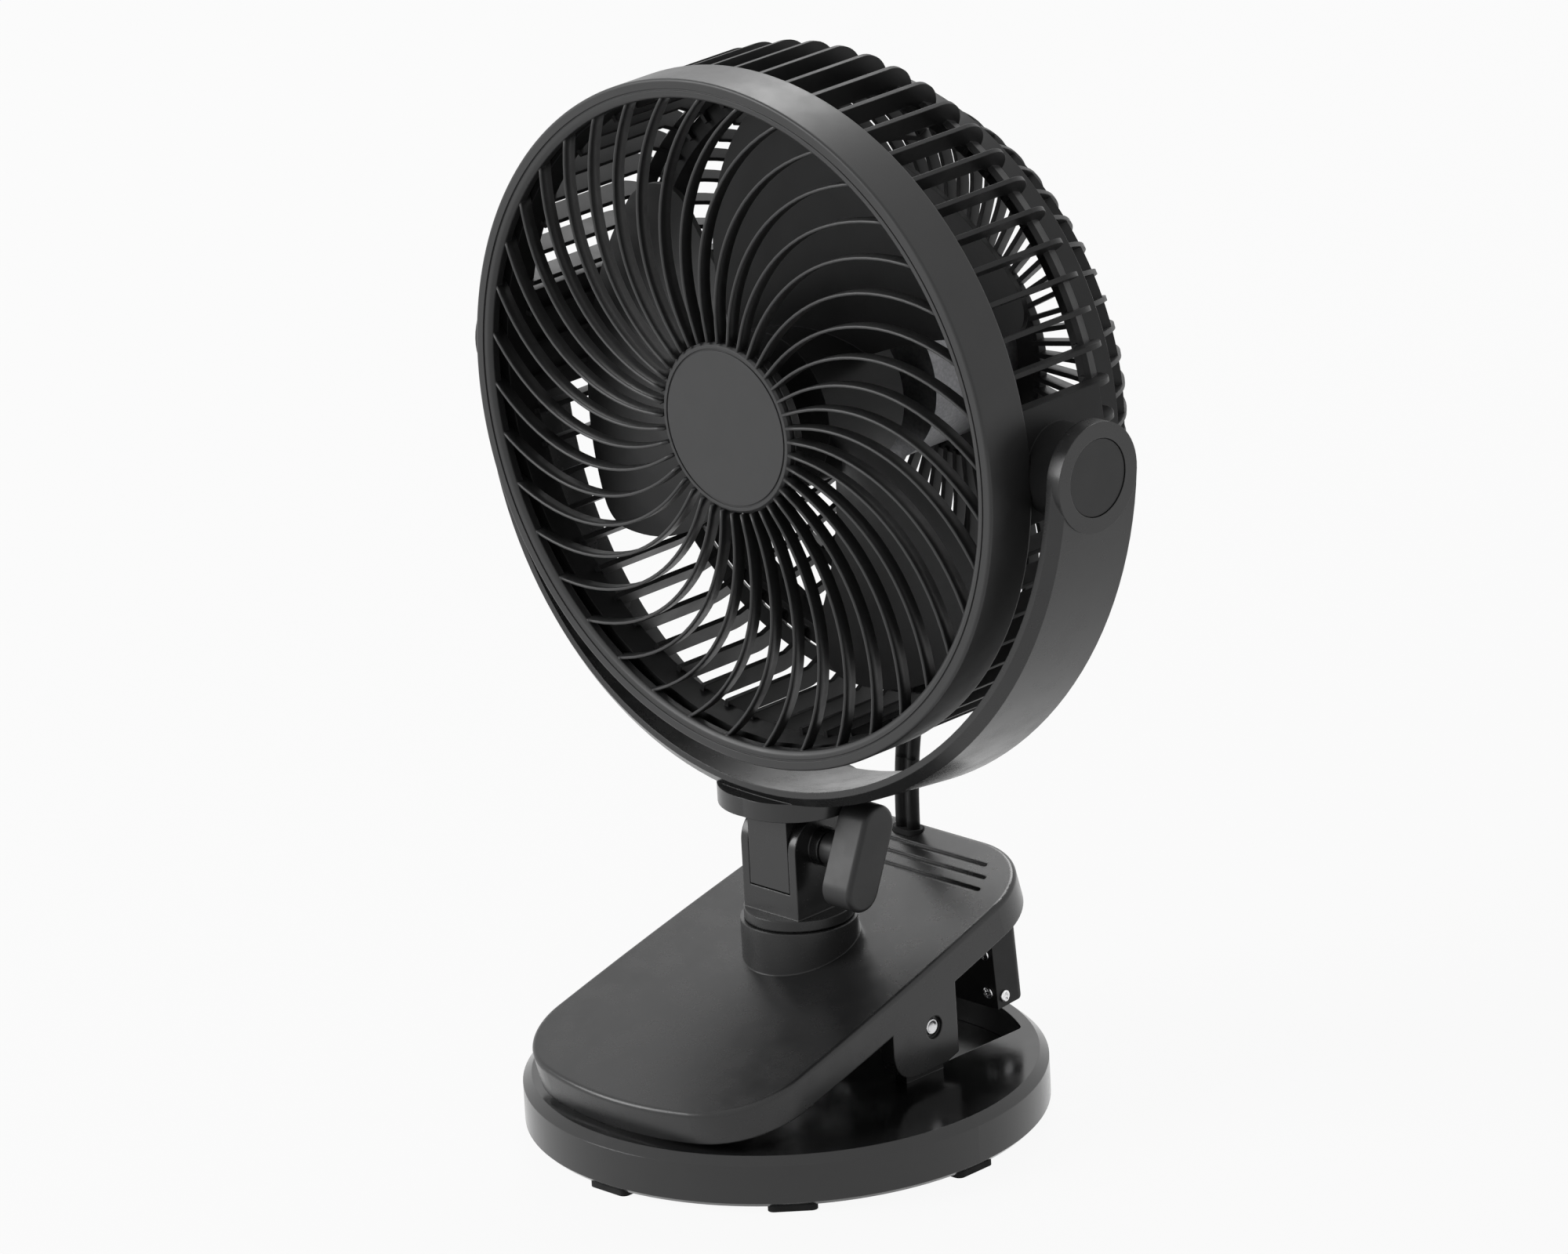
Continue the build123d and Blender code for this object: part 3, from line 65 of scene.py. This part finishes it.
def add_camera():
    e, a, r = radians(ELEVATION), radians(AZIMUTH), radians(ROLL)
    back = Vector((sin(a) * cos(e), -cos(a) * cos(e), sin(e)))
    level = Vector((cos(a), sin(a), 0))
    plumb = back.cross(level)
    right = cos(r) * level + sin(r) * plumb
    up = cos(r) * plumb - sin(r) * level
    place = Vector((0, 0, AIM_HEIGHT)) + AIM_RIGHT * level + AIM_UP * plumb + CAMERA_DISTANCE * back
    data = bpy.data.cameras.new("camera")
    data.sensor_width = SENSOR_WIDTH
    data.lens = FOCAL_PIXELS * data.sensor_width / IMAGE_WIDTH
    data.clip_start = NEAR_CLIP
    data.clip_end = FAR_CLIP
    camera = bpy.data.objects.new("camera", data)
    bpy.context.scene.collection.objects.link(camera)
    turn = Matrix((right, up, back)).transposed().to_4x4()
    camera.matrix_world = Matrix.Translation(place * MM) @ turn
    bpy.context.scene.camera = camera


# ---------------------------------------------------------------- materials
class Nodes:
    """A material's node tree, with short calls to add nodes and join them."""

    def __init__(self, name):
        self.material = bpy.data.materials.new(name)
        self.material.use_nodes = True
        self.tree = self.material.node_tree
        self.shader = next(n for n in self.tree.nodes if n.type == "BSDF_PRINCIPLED")
        self.place = self.add("ShaderNodeTexCoord").outputs["Object"]

    def add(self, kind, **values):
        node = self.tree.nodes.new(kind)
        for key, value in values.items():
            if key in node.inputs:
                node.inputs[key].default_value = value
            else:
                setattr(node, key, value)
        return node

    def join(self, out, into):
        self.tree.links.new(out, into)

    def noise(self, scale, detail=2.0, rough=0.5, stretch=None):
        node = self.add("ShaderNodeTexNoise")
        node.inputs["Scale"].default_value = scale
        node.inputs["Detail"].default_value = detail
        node.inputs["Roughness"].default_value = rough
        place = self.place
        if stretch:
            mapping = self.add("ShaderNodeMapping")
            mapping.inputs["Scale"].default_value = stretch
            self.join(place, mapping.inputs["Vector"])
            place = mapping.outputs["Vector"]
        self.join(place, node.inputs["Vector"])
        return node.outputs["Fac"]

    def cells(self, scale):
        node = self.add("ShaderNodeTexVoronoi")
        node.inputs["Scale"].default_value = scale
        self.join(self.place, node.inputs["Vector"])
        return node.outputs["Distance"]

    def ramp(self, factor, stops):
        node = self.add("ShaderNodeValToRGB")
        band = node.color_ramp
        while len(band.elements) < len(stops):
            band.elements.new(0.5)
        for element, (at, colour) in zip(band.elements, stops):
            element.position = at
            element.color = (*colour, 1)
        self.join(factor, node.inputs["Fac"])
        return node.outputs["Color"]

    def spread(self, factor, low, high, start=0.3, end=0.7):
        node = self.add("ShaderNodeMapRange")
        node.inputs["From Min"].default_value = start
        node.inputs["From Max"].default_value = end
        node.inputs["To Min"].default_value = low
        node.inputs["To Max"].default_value = high
        self.join(factor, node.inputs["Value"])
        return node.outputs["Result"]

    def bump(self, height, distance, strength=1.0, under=None):
        node = self.add("ShaderNodeBump")
        node.inputs["Strength"].default_value = strength
        node.inputs["Distance"].default_value = distance
        self.join(height, node.inputs["Height"])
        if under:
            self.join(under, node.inputs["Normal"])
        return node.outputs["Normal"]

    def rounded(self, radius):
        node = self.add("ShaderNodeBevel", samples=4)
        node.inputs["Radius"].default_value = radius
        return node.outputs["Normal"]


def grey(level):
    return (level, level * 1.005, level * 1.02)


def moulded(name, level, rough, grain=5200.0, grain_height=0.00003, edge=0.00035,
            level_spread=0.12, specular=0.4):
    """Spark-textured moulding: fine pits, a faint cloudy tone, edges shaded as rounded."""
    m = Nodes(name)
    cloud = m.noise(34.0, 3.0, 0.6)
    low, high = level * (1 - level_spread), level * (1 + level_spread)
    m.join(m.ramp(cloud, [(0.3, grey(low)), (0.7, grey(high))]), m.shader.inputs["Base Color"])
    handled = m.noise(90.0, 4.0, 0.65)
    m.join(m.spread(handled, rough - 0.05, rough + 0.05), m.shader.inputs["Roughness"])
    pits = m.noise(grain, 2.0, 0.6)
    m.join(m.bump(pits, grain_height, 0.6, m.rounded(edge)), m.shader.inputs["Normal"])
    m.shader.inputs["Specular IOR Level"].default_value = specular
    return m.material


def steel(name, colour, rough, stretch=(1, 1, 1), scale=900.0):
    m = Nodes(name)
    lines = m.noise(scale, 3.0, 0.6, stretch)
    light = tuple(min(1.0, c * 1.15) for c in colour)
    dark = tuple(c * 0.82 for c in colour)
    m.join(m.ramp(lines, [(0.3, dark), (0.7, light)]), m.shader.inputs["Base Color"])
    m.join(m.spread(m.noise(160.0, 3.0), rough - 0.06, rough + 0.08), m.shader.inputs["Roughness"])
    m.join(m.bump(lines, 0.00001, 0.5, m.rounded(0.0002)), m.shader.inputs["Normal"])
    m.shader.inputs["Metallic"].default_value = 1.0
    return m.material


def rubber(name, level, rough=0.75):
    m = Nodes(name)
    m.join(m.ramp(m.noise(60.0, 4.0), [(0.3, grey(level * 0.85)), (0.7, grey(level * 1.2))]),
           m.shader.inputs["Base Color"])
    m.join(m.spread(m.noise(200.0, 3.0), rough - 0.08, rough + 0.08), m.shader.inputs["Roughness"])
    m.join(m.bump(m.noise(2600.0, 3.0, 0.7), 0.00005, 0.5, m.rounded(0.0003)), m.shader.inputs["Normal"])
    m.shader.inputs["Specular IOR Level"].default_value = 0.25
    return m.material


def winding(name):
    m = Nodes(name)
    wires = m.add("ShaderNodeTexWave")
    wires.inputs["Scale"].default_value = 900.0
    wires.bands_direction = "Y"
    m.join(m.place, wires.inputs["Vector"])
    coppers = [(0.2, (0.16, 0.05, 0.02)), (0.8, (0.62, 0.27, 0.1))]
    m.join(m.ramp(wires.outputs["Fac"], coppers), m.shader.inputs["Base Color"])
    m.join(m.bump(wires.outputs["Fac"], 0.0001, 0.8), m.shader.inputs["Normal"])
    m.join(m.spread(m.noise(300.0), 0.3, 0.45), m.shader.inputs["Roughness"])
    m.shader.inputs["Metallic"].default_value = 0.8
    return m.material


def board_green(name):
    m = Nodes(name)
    tracks = m.cells(420.0)
    greens = [(0.25, (0.012, 0.11, 0.04)), (0.32, (0.03, 0.2, 0.08)), (0.7, (0.012, 0.09, 0.035))]
    m.join(m.ramp(tracks, greens), m.shader.inputs["Base Color"])
    m.join(m.spread(m.noise(150.0), 0.3, 0.5), m.shader.inputs["Roughness"])
    return m.material


def foil(name):
    m = Nodes(name)
    creases = m.noise(120.0, 5.0, 0.7)
    silvers = [(0.3, (0.48, 0.49, 0.5)), (0.7, (0.7, 0.71, 0.72))]
    m.join(m.ramp(creases, silvers), m.shader.inputs["Base Color"])
    m.join(m.bump(creases, 0.0004, 0.4), m.shader.inputs["Normal"])
    m.join(m.spread(creases, 0.3, 0.5), m.shader.inputs["Roughness"])
    m.shader.inputs["Metallic"].default_value = 0.7
    return m.material


MATERIALS = {
    "shell": moulded("moulded_shell", 0.022, 0.17, grain_height=0.000002, specular=0.55),
    "jaw": moulded("moulded_jaw", 0.026, 0.26, grain_height=0.000005, edge=0.0006, specular=0.5),
    "head": moulded("moulded_head", 0.034, 0.4, edge=0.0003, specular=0.5),
    # The rear guard is the front guard's plastic set darker and duller: its lower level is painted shade
    # on the cage's fins
    "rear": moulded("moulded_rear_shaded", 0.024, 0.46, edge=0.0004, specular=0.28),
    "disc": moulded("disc_face", 0.058, 0.5, grain=7000.0, level_spread=0.05),
    "yoke": moulded("moulded_yoke", 0.026, 0.26, grain_height=0.00001, specular=0.55),
    "blades": moulded("moulded_blades", 0.024, 0.4, grain=2500.0, specular=0.3),
    "knob": moulded("moulded_knob", 0.036, 0.42),
    "inner": moulded("moulded_inner", 0.018, 0.5, specular=0.3),
    "screw": steel("screw_plating", (0.85, 0.85, 0.86), 0.24),
    "steel": steel("plated_steel", (0.62, 0.62, 0.63), 0.3),
    "pin": steel("turned_pin", (0.66, 0.66, 0.67), 0.26, (1, 12, 12)),
    "motor": steel("motor_can", (0.28, 0.28, 0.29), 0.42),
    "rubber": rubber("soft_rubber", 0.022),
    "lead": rubber("lead_jacket", 0.02, 0.5),
    "winding": winding("copper_winding"),
    "board": board_green("board_lacquer"),
    "foil": foil("cell_foil"),
}

FINISH = {
    "base_shell": "shell", "base_plate": "inner", "base_screws": "steel", "base_feet": "rubber",
    "base_grip_pad": "rubber", "hinge_pin": "pin", "clip_spring": "steel",
    "upper_jaw": "jaw", "jaw_cover": "inner", "jaw_grip_pad": "rubber", "battery_pack": "foil",
    "charge_case": "inner", "case_door": "inner", "case_screws": "steel", "circuit_board": "board",
    "charge_socket": "steel", "jaw_gland": "rubber", "lead_lower": "lead",
    "neck": "jaw", "neck_washer": "steel", "neck_screw": "steel", "bolt_cover": "knob",
    "pivot_bolt": "steel", "wing_knob": "knob",
    "yoke": "yoke", "pivot_caps": "knob", "pivot_pins": "steel", "lead_middle": "lead",
    "front_guard": "head", "cap_disc": "disc", "rear_guard": "rear", "speed_switch": "inner",
    "motor_housing": "motor", "motor_frame": "motor", "bearings": "steel", "stator": "winding",
    "head_gland": "rubber", "lead_upper": "lead",
    "impeller": "blades", "impeller_nut": "steel", "motor_shaft": "steel", "rotor_core": "motor",
    "speed_dial": "knob",
}


# ---------------------------------------------------------------- sizes of the scene's own pieces
# The head's ring, cap and ribs; y runs back from the pivots, and the front is -y.
HEAD_Z = 222.5
HEAD_R = 106.5
RING_IN_R = 100.3
RING_FRONT = -9.6
RING_BACK = -5.6
BAND_REAR = 8.0
BAND_WALL = 2.0
RING_GROOVE_R = 103.2
RING_GROOVE_HALF = 0.3
RING_GROOVE_DEPTH = 0.5
RING_LIP = 1.2             # bevel on the ring's inner front edge
RING_FACE_DROP = 0.1       # the ring's face inside the groove, under the one outside
CAP_DISC_R = 26.3
CAP_PLATE_FRONT = -8.45
CAP_PLATE_REAR = -5.5
CAP_PLATE_MARGIN = 0.6
CAP_PLATE_HOLE_R = 2.0
RIB_COUNT = 40
RIB_HALF = 0.55
RIB_DEPTH = 4.5
RIB_REAR_SHARE = 0.8       # of the width at the front, for draft
RIB_PHASE = 2.22
RIB_HUB_Y = -11.6
RIB_RING_Y = -8.2
RIB_CROWN = 0.5
RIB_START_R = 26.4
RIB_END_R = 102.3
RIB_STRAIGHT_R = 34.0
RIB_SWEEP = 25.5
RIB_SWEEP_POWER = 1.5
RIB_STATIONS = 22
RIB_PROBE = 0.1            # step along a rib to find its slant

# The lead: where it passes from one body to the next, and its middle line from head to jaw.
BOLT_Z = 86.5
SPLIT_LOW_Z = BOLT_Z + 5.5
SPLIT_HIGH_Z = BOLT_Z + 50.5
LEAD_ROUTE = [(-9.5, 93.83, 187.17), (-9.5, 105.85, 175.15), (-9.5, 103.0, 152.0), (-9.5, 81.8, 127.0),
              (-9.5, 67.8, 100.0), (-9.5, 67.8, 69.75)]
LEAD_R = 2.0
LEAD_STRAND_GAP = 4.9
LEAD_WEB_HALF = 0.6

# The charge case, its screws and the hinge pin.
CASE_HALF = 40.0
CASE_REAR_Y = 62.2
CASE_FRONT_Y = 50.2
CASE_TOP = 54.9
CASE_BOTTOM = 26.8
CASE_LEAN = 4.5
CASE_SCREW_X = 36.6
CASE_SCREW_UP = (5.0, 17.8)
CASE_SIDE_SCREW = (3.2, 3.4)
SCREW_R = 1.9
SCREW_H = 1.0
SCREW_STEM_R = 0.85
SCREW_STEM = 1.7
SCREW_DOME = 0.5           # share of the head's height lost at its rim
SCREW_SLOT_HALF = 0.2 * SCREW_R
SCREW_SLOT_REACH = 0.66 * SCREW_R
SCREW_RECESS = 0.45

HINGE_Y = 14.8
HINGE_Z = 34.6
PIN_R = 2.5
PIN_END = 48.4
# the end's profile: radius, and how far under the tip
PIN_ROLL = [(1.3, 0.5), (1.6, 0.35), (1.85, 0.05), (2.1, 0.0), (2.35, 0.08), (PIN_R, 0.4)]


# ---------------------------------------------------------------- mesh helpers
def add_mesh(name, parts, material):
    """One piece from several skins, each a list of points in millimetres and a list of faces."""
    points, faces = [], []
    for skin_points, skin_faces in parts:
        first = len(points)
        points += [Vector(p) * MM for p in skin_points]
        faces += [tuple(first + k for k in face) for face in skin_faces]
    mesh = bpy.data.meshes.new(name)
    mesh.from_pydata(points, [], faces)
    work = bmesh.new()
    work.from_mesh(mesh)
    bmesh.ops.recalc_face_normals(work, faces=work.faces)
    work.to_mesh(mesh)
    work.free()
    mesh.shade_smooth()
    piece = bpy.data.objects.new(name, mesh)
    bpy.context.scene.collection.objects.link(piece)
    mesh.materials.append(MATERIALS[material])
    return piece


def skin(rings, closed=False):
    """Points and faces over rings of points, capped at the ends unless the rings close on themselves."""
    count = len(rings[0])
    points = [p for ring in rings for p in ring]
    faces = []
    for i in range(len(rings) if closed else len(rings) - 1):
        a, b = i * count, (i + 1) % len(rings) * count
        for k in range(count):
            n = (k + 1) % count
            faces.append((a + k, a + n, b + n, b + k))
    if not closed:
        faces.append(tuple(range(count)))
        faces.append(tuple(range(len(points) - count, len(points))))
    return points, faces


def soften(corners, steps=4):
    """A closed outline with each corner (a, b, radius) made a short curve between flat margins."""
    margin = 0.1
    outline = []
    for k, (a, b, radius) in enumerate(corners):
        here = Vector((a, b))
        before = (Vector(corners[k - 1][:2]) - here).normalized()
        after = (Vector(corners[(k + 1) % len(corners)][:2]) - here).normalized()
        start, end = here + before * radius, here + after * radius
        outline.append(start + before * margin)
        for step in range(steps + 1):
            t = step / steps
            outline.append(start * (1 - t) ** 2 + here * 2 * t * (1 - t) + end * t * t)
        outline.append(end + after * margin)
    return outline


def head_point(radius, angle, y):
    return (radius * cos(angle), y, HEAD_Z + radius * sin(angle))


def lathe_head(outline, turns=192):
    """An outline of (radius, y) turned about the head's axis."""
    rings = [[head_point(r, 2 * pi * k / turns, y) for r, y in outline] for k in range(turns)]
    return skin(rings, closed=True)


# ---------------------------------------------------------------- front guard
def guard_ring():
    """The ring with its band, a groove in its face and a bevel inside; each corner has its softening."""
    band_in = HEAD_R - BAND_WALL
    groove_in, groove_out = RING_GROOVE_R - RING_GROOVE_HALF, RING_GROOVE_R + RING_GROOVE_HALF
    groove_floor = RING_FRONT + RING_GROOVE_DEPTH
    band, wide, inner, lip, fine = 0.4, 0.9, 0.6, 0.5, 0.12
    return lathe_head(soften([
        (HEAD_R, RING_FRONT, wide), (HEAD_R, BAND_REAR, inner),
        (band_in, BAND_REAR, band), (band_in, RING_BACK, band),
        (RING_IN_R, RING_BACK, inner), (RING_IN_R, RING_FRONT + RING_LIP - RING_FACE_DROP, inner),
        (RING_IN_R + RING_LIP, RING_FRONT + 2 * RING_FACE_DROP, lip),
        (groove_in, RING_FRONT + RING_FACE_DROP, fine), (groove_in, groove_floor, fine),
        (groove_out, groove_floor, fine), (groove_out, RING_FRONT, fine),
    ]))


def rib_place(radius):
    """A rib's angle and the place of its front edge, at one radius."""
    sweep = max(0.0, (radius - RIB_STRAIGHT_R) / (RING_IN_R - RIB_STRAIGHT_R)) ** RIB_SWEEP_POWER
    share = (radius - RIB_START_R) / (RIB_END_R - RIB_START_R)
    y = RIB_HUB_Y + (RIB_RING_Y - RIB_HUB_Y) * share - 4 * RIB_CROWN * share * (1 - share)
    return -radians(RIB_SWEEP) * sweep, y


def guard_rib(turn):
    """One swept rib with a half-round front edge."""
    steps = 6
    rear_half = RIB_REAR_SHARE * RIB_HALF
    section = [(RIB_HALF * cos(pi * k / steps), RIB_HALF - RIB_HALF * sin(pi * k / steps))
               for k in range(steps + 1)]
    section += [(-rear_half, RIB_DEPTH), (rear_half, RIB_DEPTH)]
    rings = []
    for k in range(RIB_STATIONS):
        radius = RIB_START_R + (RIB_END_R - RIB_START_R) * k / (RIB_STATIONS - 1)
        angle, y = rib_place(radius)
        ahead = rib_place(radius + RIB_PROBE)[0]
        slant = atan2(radius * (ahead - angle), RIB_PROBE)
        across = angle + turn + slant + pi / 2
        middle = Vector(head_point(radius, angle + turn, y))
        side = Vector((cos(across), 0, sin(across)))
        rings.append([middle + side * w + Vector((0, d, 0)) for w, d in section])
    return skin(rings)


def add_front_guard():
    rim = CAP_DISC_R + CAP_PLATE_MARGIN
    fine, wide = 0.2, 0.4
    plate = lathe_head(soften([
        (rim, CAP_PLATE_FRONT, fine), (rim, CAP_PLATE_REAR, wide),
        (CAP_PLATE_HOLE_R, CAP_PLATE_REAR, fine), (CAP_PLATE_HOLE_R, CAP_PLATE_FRONT, fine),
    ]), turns=96)
    ribs = [guard_rib(radians(RIB_PHASE) + 2 * pi * k / RIB_COUNT) for k in range(RIB_COUNT)]
    guard = add_mesh("front_guard_moulding", [guard_ring(), plate, *ribs], "head")
    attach(guard, "fan_head")
    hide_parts("front_guard")


# ---------------------------------------------------------------- lead
def lead_line():
    """The lead's middle line, read from the route's smooth spline."""
    curve = bpy.data.curves.new("lead_route", "CURVE")
    curve.dimensions = "3D"
    spline = curve.splines.new("NURBS")
    spline.points.add(len(LEAD_ROUTE) - 1)
    for point, place in zip(spline.points, LEAD_ROUTE):
        point.co = (*place, 1)
    spline.order_u = 3
    spline.use_endpoint_u = True
    spline.resolution_u = 16
    holder = bpy.data.objects.new("lead_route", curve)
    bpy.context.scene.collection.objects.link(holder)
    bpy.context.view_layer.update()
    line = bpy.data.meshes.new_from_object(holder.evaluated_get(bpy.context.evaluated_depsgraph_get()))
    points = [v.co.copy() for v in line.vertices]
    bpy.data.objects.remove(holder)
    bpy.data.meshes.remove(line)
    return points


def lead_section(middle, along):
    """The twin lead's outline round one point of its line: two strands and the web between them."""
    steps = 12
    level = Vector((1, 0, 0))
    plumb = along.cross(level).normalized()
    notch = atan2(LEAD_WEB_HALF, sqrt(LEAD_R ** 2 - LEAD_WEB_HALF ** 2))
    ring = []
    for side, first in ((1, notch - pi), (-1, notch)):
        for k in range(steps + 1):
            angle = first + (2 * pi - 2 * notch) * k / steps
            ring.append(middle + level * (side * LEAD_STRAND_GAP / 2 + LEAD_R * cos(angle))
                        + plumb * LEAD_R * sin(angle))
    return ring


def lead_stretch(points, low, high):
    """The stretch of the line between two heights, with points set at both."""
    kept = []
    for a, b in zip(points, points[1:]):
        for height in (high, low):
            if b.z < height < a.z:
                kept.append(a.lerp(b, (a.z - height) / (a.z - b.z)))
        if low <= b.z <= high:
            kept.append(b)
    return kept


def add_lead():
    points = lead_line()
    points = points if points[0].z > points[-1].z else points[::-1]
    top, foot = points[0].z, points[-1].z
    stretches = [
        ("lead_at_jaw", foot, SPLIT_LOW_Z, "clip_jaw", "swivel_neck", "lead_lower"),
        ("lead_at_yoke", SPLIT_LOW_Z, SPLIT_HIGH_Z, "swivel_neck", "yoke_arm", "lead_middle"),
        ("lead_at_head", SPLIT_HIGH_Z, top, "yoke_arm", "fan_head", "lead_upper"),
    ]
    for name, low, high, under, over, node in stretches:
        line = lead_stretch(points, low, high)
        line = [points[0], *line] if high == top else line
        ahead = line[1:] + [line[-1] * 2 - line[-2]]
        behind = [line[0] * 2 - line[1]] + line[:-1]
        rings = [lead_section(p, (a - b).normalized()) for p, a, b in zip(line, ahead, behind)]
        piece = add_mesh(name, [skin(rings)], "lead")
        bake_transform(piece)
        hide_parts(node)


# ---------------------------------------------------------------- screws and hinge pin
def screw_skin(place):
    """A domed screw head with a cross recess, along local +Z, put in its place by a matrix."""
    turns, steps = 48, 10

    def circle(radius, height=0):
        angles = [2 * pi * k / turns for k in range(turns)]
        return [(radius * cos(angle), radius * sin(angle), height) for angle in angles]

    rings = []
    for step in range(steps, 0, -1):
        r = SCREW_R * step / steps
        dome = SCREW_H * (1 - SCREW_DOME * (r / SCREW_R) ** 3)
        rings.append([(u, v, dome - SCREW_RECESS)
                      if r < SCREW_SLOT_REACH and min(abs(u), abs(v)) < SCREW_SLOT_HALF else (u, v, dome)
                      for u, v, _ in circle(r)])
    tip, neck, rim = circle(SCREW_STEM_R, -SCREW_STEM), circle(SCREW_STEM_R), circle(SCREW_R)
    points, faces = skin([tip, neck, rim, *rings])
    return [place @ Vector(p) for p in points], faces


def add_case_screws():
    pivot = Matrix.Translation((0, CASE_REAR_Y, CASE_TOP))
    lean = pivot @ Matrix.Rotation(radians(CASE_LEAN), 4, "X") @ pivot.inverted()
    to_front = Matrix.Rotation(radians(90), 4, "X")
    skins = []
    for side in (-1, 1):
        for up in CASE_SCREW_UP:
            spot = Matrix.Translation((side * CASE_SCREW_X, CASE_FRONT_Y, CASE_BOTTOM + up))
            skins.append(screw_skin(lean @ spot @ to_front))
        in_from_front, up = CASE_SIDE_SCREW
        spot = Matrix.Translation((side * CASE_HALF, CASE_FRONT_Y + in_from_front, CASE_BOTTOM + up))
        skins.append(screw_skin(lean @ spot @ Matrix.Rotation(radians(side * 90), 4, "Y")))
    screws = add_mesh("case_screw_set", skins, "screw")
    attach(screws, "clip_jaw")
    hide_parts("case_screws")


def add_hinge_pin():
    """The pin with rolled ends: a bright rim round a sunk middle."""
    turns = 64
    half = [(r, PIN_END - sunk) for r, sunk in PIN_ROLL]
    outline = half + [(r, -x) for r, x in reversed(half)]
    angles = [2 * pi * k / turns for k in range(turns)]
    rings = [[(x, HINGE_Y + r * cos(a), HINGE_Z + r * sin(a)) for a in angles] for r, x in outline]
    pin = add_mesh("hinge_pin_rolled", [skin(rings)], "pin")
    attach(pin, "base")
    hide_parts("hinge_pin")


# ---------------------------------------------------------------- materials of the solids
def dress(piece, name):
    material = MATERIALS[name]
    if not piece.material_slots:
        piece.data.materials.append(material)
        return
    for place in piece.material_slots:
        place.material = material


def dress_frame():
    for name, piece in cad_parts.items():
        dress(piece, FINISH[name])


# ---------------------------------------------------------------- floor, world and lamps
FLOOR_HALF = 6.0           # metres
FLOOR_GLOW = 0.93          # share of plain white that the camera sees; reflections see all of it
WORLD_LEVEL = 0.1          # light from round about; the camera and reflections see white
LAMP_AIM = (0, 0, 0.17)
LAMPS = [                  # name, place in metres, size, power
    ("key_behind", (-1.1, 1.3, 1.7), 0.9, 14.0),
    ("fill_front", (-1.6, -1.9, 1.2), 1.6, 40.0),
]


def add_floor():
    mesh = bpy.data.meshes.new("floor")
    h = FLOOR_HALF
    mesh.from_pydata([(-h, -h, 0), (h, -h, 0), (h, h, 0), (-h, h, 0)], [], [(0, 1, 2, 3)])
    floor = bpy.data.objects.new("floor", mesh)
    bpy.context.scene.collection.objects.link(floor)
    m = Nodes("pale_floor")
    m.shader.inputs["Roughness"].default_value = 0.9
    m.shader.inputs["Specular IOR Level"].default_value = 0.1
    pales = [(0.4, (0.8, 0.8, 0.8)), (0.6, (0.82, 0.82, 0.82))]
    m.join(m.ramp(m.noise(3.0), pales), m.shader.inputs["Base Color"])
    glow = m.add("ShaderNodeEmission")
    glow.inputs["Strength"].default_value = 1.0
    ray = m.add("ShaderNodeLightPath")
    share = m.add("ShaderNodeMath", operation="MULTIPLY")
    m.join(ray.outputs["Is Camera Ray"], share.inputs[0])
    share.inputs[1].default_value = FLOOR_GLOW
    seen = m.add("ShaderNodeMath", operation="MAXIMUM")
    m.join(share.outputs[0], seen.inputs[0])
    m.join(ray.outputs["Is Glossy Ray"], seen.inputs[1])
    mix = m.add("ShaderNodeMixShader")
    m.join(seen.outputs[0], mix.inputs[0])
    m.join(m.shader.outputs[0], mix.inputs[1])
    m.join(glow.outputs[0], mix.inputs[2])
    out = next(n for n in m.tree.nodes if n.type == "OUTPUT_MATERIAL")
    m.join(mix.outputs[0], out.inputs["Surface"])
    mesh.materials.append(m.material)


def add_world():
    world = bpy.data.worlds.new("studio")
    bpy.context.scene.world = world
    world.use_nodes = True
    tree = world.node_tree
    tree.nodes.clear()
    ray = tree.nodes.new("ShaderNodeLightPath")
    first, second = (tree.nodes.new("ShaderNodeMath") for _ in range(2))
    first.operation = second.operation = "MAXIMUM"
    tree.links.new(ray.outputs["Is Camera Ray"], first.inputs[0])
    tree.links.new(ray.outputs["Is Glossy Ray"], first.inputs[1])
    tree.links.new(first.outputs[0], second.inputs[0])
    tree.links.new(ray.outputs["Is Transmission Ray"], second.inputs[1])
    plain, white = (tree.nodes.new("ShaderNodeBackground") for _ in range(2))
    for background, level in ((plain, WORLD_LEVEL), (white, 1.0)):
        background.inputs["Color"].default_value = (1, 1, 1, 1)
        background.inputs["Strength"].default_value = level
    mix = tree.nodes.new("ShaderNodeMixShader")
    tree.links.new(second.outputs[0], mix.inputs[0])
    tree.links.new(plain.outputs[0], mix.inputs[1])
    tree.links.new(white.outputs[0], mix.inputs[2])
    out = tree.nodes.new("ShaderNodeOutputWorld")
    tree.links.new(mix.outputs[0], out.inputs["Surface"])


def add_lamp(name, place, size, power):
    data = bpy.data.lights.new(name, "AREA")
    data.shape = "DISK"
    data.size = size
    data.energy = power
    lamp = bpy.data.objects.new(name, data)
    bpy.context.scene.collection.objects.link(lamp)
    lamp.location = place
    lamp.rotation_euler = (Vector(place) - Vector(LAMP_AIM)).to_track_quat("Z", "Y").to_euler()


add_camera()
add_world()
for lamp in LAMPS:
    add_lamp(*lamp)
add_floor()
dress_frame()
add_front_guard()
add_lead()
add_case_screws()
add_hinge_pin()

bpy.context.scene.view_settings.view_transform = "Standard"
